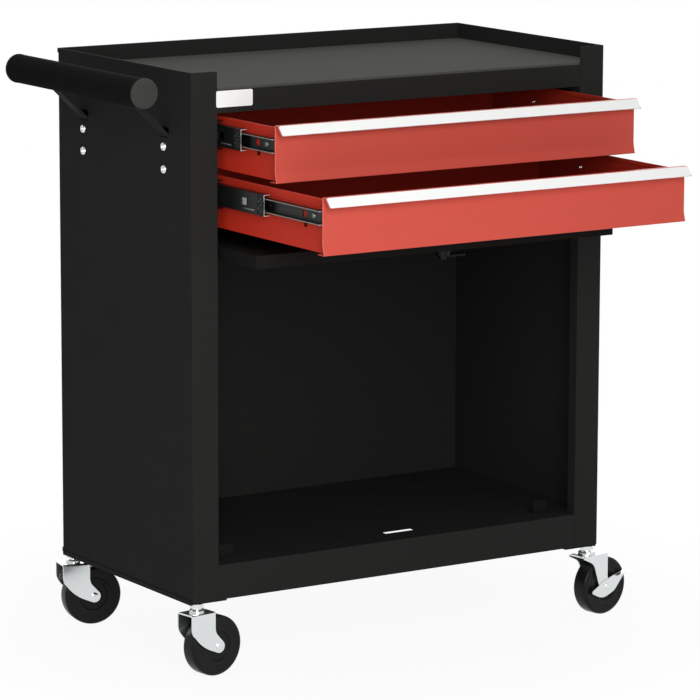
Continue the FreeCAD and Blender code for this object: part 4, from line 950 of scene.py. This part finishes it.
@dataclass
class Drawer:
    """A red drawer: its folded box, its nosed front and the white trim."""

    name: str
    edge_mm: float = 0.35
    rim_mm: float = 0.7
    nose: float = 13.0 * MM
    skin: float = 0.5 * MM
    reach: float = 1.0 * MM

    def build(self) -> None:
        """Dress the drawer's nodes."""
        body = self.name + "_drawer"
        piece = dress(body + "_box", body, RED_COAT, self.rim_mm, 3)
        low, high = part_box(body + "_box")
        # Painted shade: the faces inside the box take the darker red
        refinish(piece, RED_PAINTED_SHADE, self.faces_in(high[0], low[2]))
        # Painted highlight: the rounded outer edge of the box's sides in a paler red
        refinish(piece, RED_PAINTED_HIGHLIGHT, self.rounded_rim(high[0], high[2]))
        # Painted sheen: the front takes a paler red
        piece = dress(body + "_front", body, RED_PAINTED_SHEEN, self.edge_mm, 3)
        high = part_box(body + "_front")[1]
        # Painted highlight: the front's rounded sides in a paler red
        refinish(piece, RED_PAINTED_HIGHLIGHT, self.rounded_side(high[0], high[2] - self.nose))
        dress(body + "_trim", body, WHITE_PVC, 0.4)

    def faces_in(self, half: float, bottom: float) -> FaceTest:
        """Return a test for the faces inside the box, from half its width and its underside."""
        return lambda face: abs(face.center.x) < half - self.skin and face.center.z > bottom + self.skin

    def rounded_rim(self, half: float, top: float) -> FaceTest:
        """Return a test for the rounded outer edge of the box's sides, from half its width and its rim."""
        return lambda face: (abs(face.center.x) > half - self.reach and face.center.z > top - self.reach
                             and 0.2 < face.normal.z < 0.97)

    def rounded_side(self, half: float, nose: float) -> FaceTest:
        """Return a test for the front's rounded sides, from half its width and the foot of its nose."""
        return lambda face: (abs(face.center.x) > half - self.reach and face.center.z < nose
                             and abs(face.normal.x) < 0.95 and face.normal.y < -0.2)


@dataclass
class Door:
    """The stowed door with its shoes and its lock."""

    ring_steps: int = 64
    barrel_radius: float = 9.3 * MM
    flange: float = 2.6 * MM
    plug_radius: float = 5.2 * MM
    plug_sink: float = 1.0 * MM
    key_width: float = 8.0 * MM
    key_slot: float = 1.6 * MM
    key_depth: float = 5.0 * MM

    def build(self) -> None:
        """Dress the door, its shoes and the lock."""
        # Painted shade: the stowed door takes the darker black
        dress("door_panel", "door", BLACK_PAINTED_SHADE, 0.35)
        for hand in Hand:
            dress("door_shoe_" + hand.word, "door_carriage", BLACK_NYLON, 0.6)
        dress("lock_cam", "lock_tongue", DARK_ZINC, 0.3)
        self.lock()

    def lock(self) -> None:
        """Turn the lock barrel and cut its key slot."""
        low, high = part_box("lock_barrel")
        centre = Vector(((low[0] + high[0]) / 2, (low[1] + high[1]) / 2, high[2]))
        ring = (high[0] - low[0]) / 2
        depth = high[2] - low[2]
        profile = [(0.0, -self.plug_sink), (self.plug_radius, -self.plug_sink),
                   (self.plug_radius + 0.4 * MM, -0.2 * MM), (ring * 0.62, -0.2 * MM),
                   (ring * 0.7, 0.0), (ring * 0.86, 0.0), (ring, -1.2 * MM), (ring, -self.flange),
                   (self.barrel_radius, -self.flange), (self.barrel_radius, -depth), (0.0, -depth)]
        barrel = turned("lock_barrel_dressed", profile, Vector((0, 0, 1)), centre, self.ring_steps)
        half_width, half_slot = self.key_width / 2, self.key_slot / 2
        cutter = rounded_box("key", (centre.x - half_width, centre.y - half_slot, centre.z - self.key_depth),
                             (centre.x + half_width, centre.y + half_slot, centre.z + MM), 0.0)
        cut_out(barrel, cutter)
        shade(barrel.data)
        settle(barrel, "door", DARK_ZINC, ["lock_barrel"])


@dataclass
class Handle:
    """The push handle: two brackets through the panel, a tube, foam and its caps."""

    steps: int = 96
    disc_radius: float = 9.5 * MM
    disc_depth: float = 0.35 * MM
    cap_gap: float = 0.3 * MM
    plug_radius: float = 10.9 * MM
    plug_length: float = 6.0 * MM
    head_radius: float = 5.4 * MM
    head_sink: float = 0.05 * MM

    def build(self) -> None:
        """Dress the handle's nodes."""
        for end in ("front", "rear"):
            dress("handle_bracket_" + end, "cabinet", BLACK_COAT, 0.4)
        dress("handle_core", "cabinet", DIPPED_STEEL, 0.2)
        dress("handle_grip", "cabinet", GRIP_FOAM, 0.6)
        self.caps()
        self.screws()

    def caps(self) -> None:
        """Turn the two end caps, each with a shallow bare disc in its face."""
        low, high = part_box("handle_caps")
        centre = Vector(((low[0] + high[0]) / 2, 0, (low[2] + high[2]) / 2))
        rim = (high[0] - low[0]) / 2
        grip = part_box("handle_grip")[1][1]
        seat = grip + self.cap_gap
        thick = high[1] - seat
        profile = [(0.0, -self.plug_length), (self.plug_radius, -self.plug_length), (self.plug_radius, 0.0),
                   (rim, 0.0), (rim, thick - 1.2 * MM), (rim - 0.35 * MM, thick - 0.35 * MM),
                   (rim - 1.3 * MM, thick), (self.disc_radius + 0.3 * MM, thick),
                   (self.disc_radius, thick - self.disc_depth), (0.0, thick - self.disc_depth)]
        pieces = [turned("cap", profile, Vector((0, end, 0)), centre + Vector((0, end * seat, 0)), self.steps)
                  for end in (-1, 1)]
        settle(merge("handle_caps_dressed", pieces), "cabinet", GREY_NYLON, ["handle_caps"])

    def screws(self) -> None:
        """Lay out the four screws in two columns on the side panel."""
        low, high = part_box("handle_screws")
        rim = self.head_radius
        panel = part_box("side_panel_left")[0][0]
        head = PanHead(radius=rim, height=2.8 * MM, cross=0.6, slot_width=1.7 * MM,
                       slot_depth=2.2 * MM).build()
        spacing = high[2] - low[2] - 2 * rim
        columns = []
        for y in (low[1] + rim, high[1] - rim):
            start = Vector((panel - self.head_sink, y, low[2] + rim))
            columns.append(Row("screw_column", head, 2, start, Vector((0, 0, spacing)),
                               ZINC_PLATE, Euler((0, math.radians(-90), 0))).build())
        bpy.data.objects.remove(head)
        settle(merge("handle_screws_dressed", columns), "cabinet", ZINC_PLATE, ["handle_screws"])


@dataclass
class Caster:
    """A stem caster: its swept fork, riveted axle, wheel and, on the right, brake pedal."""

    corner: str
    steps: int = 96
    axle_steps: int = 40
    axle_head: float = 5.0 * MM
    axle_rise: float = 1.8 * MM
    axle_shank: float = 4.0 * MM
    tread_radius: float = 38.0 * MM
    tread_half: float = 11.5 * MM
    shoulder: float = 4.0 * MM
    shoulder_steps: int = 6
    hub_half: float = 12.8 * MM
    hub_radius: float = 9.0 * MM
    bore: float = 4.1 * MM
    ring_radius: float = 21.5 * MM
    face_sink: float = 0.35 * MM

    def build(self) -> None:
        """Dress the caster's nodes."""
        body = "caster_" + self.corner
        dress("caster_fork_" + self.corner, body, ZINC_PLATE, 0.5, 3)
        self.axle("caster_axle_" + self.corner, body)
        self.wheel()
        pedal = "brake_pedal_" + self.corner
        if pedal in FRAME["nodes"]:
            dress(pedal, "brake_" + self.corner, ZINC_PLATE, 0.4)

    def joint(self) -> dict[str, Any]:
        """Return the record's entry for this wheel's turning joint."""
        joints = FRAME["record"]["behaviour"]["joints"]
        return next(joint for joint in joints if joint["name"] == "roll_" + self.corner)

    def axle(self, node: str, body: str) -> None:
        """Turn the riveted axle.

        Args:
            node: its CAD node.
            body: the CAD body that it rides on.
        """
        joint = self.joint()
        aim = Vector(joint["axis"])
        centre = Vector(joint["pos_m"])
        mesh = FRAME["nodes"][node].data
        spots = [(vertex.co - centre).dot(aim) for vertex in mesh.vertices]
        low, high = min(spots), max(spots)
        head, rise, shank = self.axle_head, self.axle_rise, self.axle_shank
        cap = [(0.0, 0.0), (head * 0.45, rise * 0.06), (head * 0.8, rise * 0.35), (head, rise * 0.8),
               (head, rise), (shank, rise)]
        profile = [(radius, low + height) for radius, height in cap]
        profile += [(radius, high - height) for radius, height in reversed(cap)]
        settle(turned(node + "_dressed", profile, aim, centre, self.axle_steps), body, ZINC_PLATE, [node])

    def wheel(self) -> None:
        """Turn the wheel with its rounded tread, its face ring and its hub."""
        node = "caster_wheel_" + self.corner
        joint = self.joint()
        tread, half, hub = self.tread_radius, self.tread_half, self.hub_half
        ring, shoulder, knob = self.ring_radius, self.shoulder, self.hub_radius
        side = [(self.bore, hub), (knob, hub), (knob + 0.8 * MM, hub - 0.6 * MM),
                (knob + 1.0 * MM, half - 1.6 * MM), (ring - 3.4 * MM, half - 1.6 * MM),
                (ring - 2.4 * MM, half - 0.2 * MM), (ring - 1.8 * MM, half), (ring + 1.0 * MM, half),
                (ring + 2.0 * MM, half - 0.75 * MM), (tread - 8 * MM, half - 0.8 * MM),
                (tread - shoulder - 1.5 * MM, half - self.face_sink)]
        for step in range(self.shoulder_steps + 1):
            angle = math.radians(90 * step / self.shoulder_steps)
            side.append((tread - shoulder + shoulder * math.sin(angle),
                         half - self.face_sink - shoulder + shoulder * math.cos(angle)))
        profile = side + [(radius, -height) for radius, height in reversed(side)]
        wheel = turned(node + "_dressed", ring_profile(profile), Vector(joint["axis"]),
                       Vector(joint["pos_m"]), self.steps)
        settle(wheel, "wheel_" + self.corner, WHEEL_PLASTIC, [node])


class Stems:
    """The four stems that the casters swivel on, each with its cup and nut."""

    def build(self) -> None:
        """Dress the stems."""
        dress("caster_stems", "cabinet", ZINC_PLATE, 0.25)


@dataclass(frozen=True)
class Lamp:
    """A soft square lamp: metres for its place, its target and its edge, watts for its power."""

    name: str
    place: Point
    target: Point
    size: float
    power: float

    def build(self) -> None:
        """Hang the lamp so that it faces its target."""
        data = bpy.data.lights.new(self.name, "AREA")
        data.size = self.size
        data.energy = self.power
        lamp = bpy.data.objects.new(self.name, data)
        bpy.context.scene.collection.objects.link(lamp)
        lamp.location = self.place
        aim = Vector(self.target) - Vector(self.place)
        lamp.rotation_euler = aim.to_track_quat("-Z", "Y").to_euler()


@dataclass
class Studio:
    """A pale floor, soft lamps and the camera at the photograph's place."""

    eye: Point = (-2.7614, -4.3487, 0.5711)
    yaw: float = 32.677
    pitch: float = -10.367
    roll: float = 0.162
    lens: float = 209.50
    floor_corners: Outline = ((-9, -7), (9, -7), (9, 11), (-9, 11))
    floor_glow: float = 0.93
    fade_from: float = 0.3
    fade_out: float = 0.75
    surround: float = 0.27
    lamps: tuple[Lamp, ...] = (
        Lamp("key", (-1.0, -2.1, 0.5), (0, -0.1, -0.3), 1.1, 30.0),
        Lamp("front", (-1.2, -3.0, -0.3), (0, -0.1, -0.3), 1.5, 14.0),
        Lamp("top", (0.0, -0.6, 3.0), (0, -0.1, 0), 2.2, 33.0),
        Lamp("rear", (2.4, 3.2, 1.4), (0, 0.1, -0.3), 2.4, 34.0),
    )

    def build(self) -> None:
        """Build the floor, lamps, world and camera."""
        self.floor()
        self.world()
        for lamp in self.lamps:
            lamp.build()
        self.camera()
        bpy.context.scene.view_settings.view_transform = "Standard"

    def floor(self) -> None:
        """Lay the floor under the wheels."""
        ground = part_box("caster_wheel_front_left")[0][2]
        shape = bmesh.new()
        shape.faces.new([shape.verts.new((x, y, ground)) for x, y in self.floor_corners])
        floor = new_object("floor", written("floor", shape))
        floor.data.materials.append(self.paper())

    def paper(self) -> bpy.types.Material:
        """Make the floor's white paper, which fades into the backdrop away from the object's shadow.

        Returns:
            The new material.
        """
        material = bpy.data.materials.new("studio_floor")
        material.use_nodes = True
        tree = material.node_tree
        tree.nodes.clear()
        place = add_node(tree, "ShaderNodeTexCoord").outputs["Object"]
        flat = add_node(tree, "ShaderNodeVectorMath", {"operation": "MULTIPLY", 1: (1.0, 1.0, 0.0)},
                        {0: place})
        away = add_node(tree, "ShaderNodeVectorMath", {"operation": "LENGTH"}, {0: flat.outputs[0]})
        fade = add_node(tree, "ShaderNodeMapRange", {
            "interpolation_type": "SMOOTHSTEP", "From Min": self.fade_from, "From Max": self.fade_out,
            "To Min": self.floor_glow, "To Max": 1.0}, {"Value": away.outputs["Value"]})
        paper = add_node(tree, "ShaderNodeBsdfDiffuse", {"Color": linear("F4F4F4")})
        glow = add_node(tree, "ShaderNodeEmission", {"Color": linear("FFFFFF"), "Strength": 1.0})
        seen = add_node(tree, "ShaderNodeMixShader", links={
            0: fade.outputs["Result"], 1: paper.outputs[0], 2: glow.outputs[0]})
        mix = add_node(tree, "ShaderNodeMixShader", links={
            0: seen_by(tree, *SHOWN), 1: paper.outputs[0], 2: seen.outputs[0]})
        add_node(tree, "ShaderNodeOutputMaterial", links={"Surface": mix.outputs[0]})
        return material

    def world(self) -> None:
        """Give a soft pale surround that the camera sees as white."""
        world = bpy.data.worlds.new("studio")
        bpy.context.scene.world = world
        world.use_nodes = True
        tree = world.node_tree
        tree.nodes.clear()
        soft = add_node(tree, "ShaderNodeBackground",
                        {"Color": linear("F2F4F6"), "Strength": self.surround})
        white = add_node(tree, "ShaderNodeBackground", {"Color": linear("FFFFFF"), "Strength": 1.0})
        mix = add_node(tree, "ShaderNodeMixShader", links={
            0: seen_by(tree, *SHOWN), 1: soft.outputs[0], 2: white.outputs[0]})
        add_node(tree, "ShaderNodeOutputWorld", links={"Surface": mix.outputs[0]})

    def camera(self) -> None:
        """Set the camera at the photograph's angle."""
        yaw, pitch, roll = (math.radians(value) for value in (self.yaw, self.pitch, self.roll))
        ahead = Vector((math.sin(yaw) * math.cos(pitch), math.cos(yaw) * math.cos(pitch), math.sin(pitch)))
        right = Vector((math.cos(yaw), -math.sin(yaw), 0))
        upward = right.cross(ahead)
        tilted = right * math.cos(roll) + upward * math.sin(roll)
        risen = upward * math.cos(roll) - right * math.sin(roll)
        data = bpy.data.cameras.new("camera")
        data.sensor_width = 36.0
        data.lens = self.lens
        data.clip_end = 60.0
        camera = bpy.data.objects.new("camera", data)
        bpy.context.scene.collection.objects.link(camera)
        spin = Matrix((tilted, risen, -ahead)).transposed().to_4x4()
        camera.matrix_world = Matrix.Translation(Vector(self.eye)) @ spin
        bpy.context.scene.camera = camera


def main() -> None:
    """Build the cabinet's sub-assemblies and its studio, in order."""
    logging.basicConfig(level=logging.INFO)
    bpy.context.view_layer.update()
    parts: list[Any] = [Shell()]
    for name in ("upper", "lower"):
        parts.append(Drawer(name))
        parts.extend(Slide(name, hand) for hand in Hand)
        parts.extend(BallCages(name, level) for level in ("outer", "inner"))
    parts += [Door(), Handle(), Stems()]
    parts += [Caster(corner) for corner in ("front_left", "rear_left", "front_right", "rear_right")]
    for part in [*parts, Studio()]:
        part.build()
        LOG.info("%s is ready", type(part).__name__)


with open("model.json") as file:
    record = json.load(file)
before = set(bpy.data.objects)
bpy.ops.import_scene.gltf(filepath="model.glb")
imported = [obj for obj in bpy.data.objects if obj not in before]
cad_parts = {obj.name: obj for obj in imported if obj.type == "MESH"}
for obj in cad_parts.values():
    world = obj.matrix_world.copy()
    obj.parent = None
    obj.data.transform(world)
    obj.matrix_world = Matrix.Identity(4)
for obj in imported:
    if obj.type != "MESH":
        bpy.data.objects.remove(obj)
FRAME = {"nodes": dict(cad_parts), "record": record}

if __name__ == "__main__":
    main()
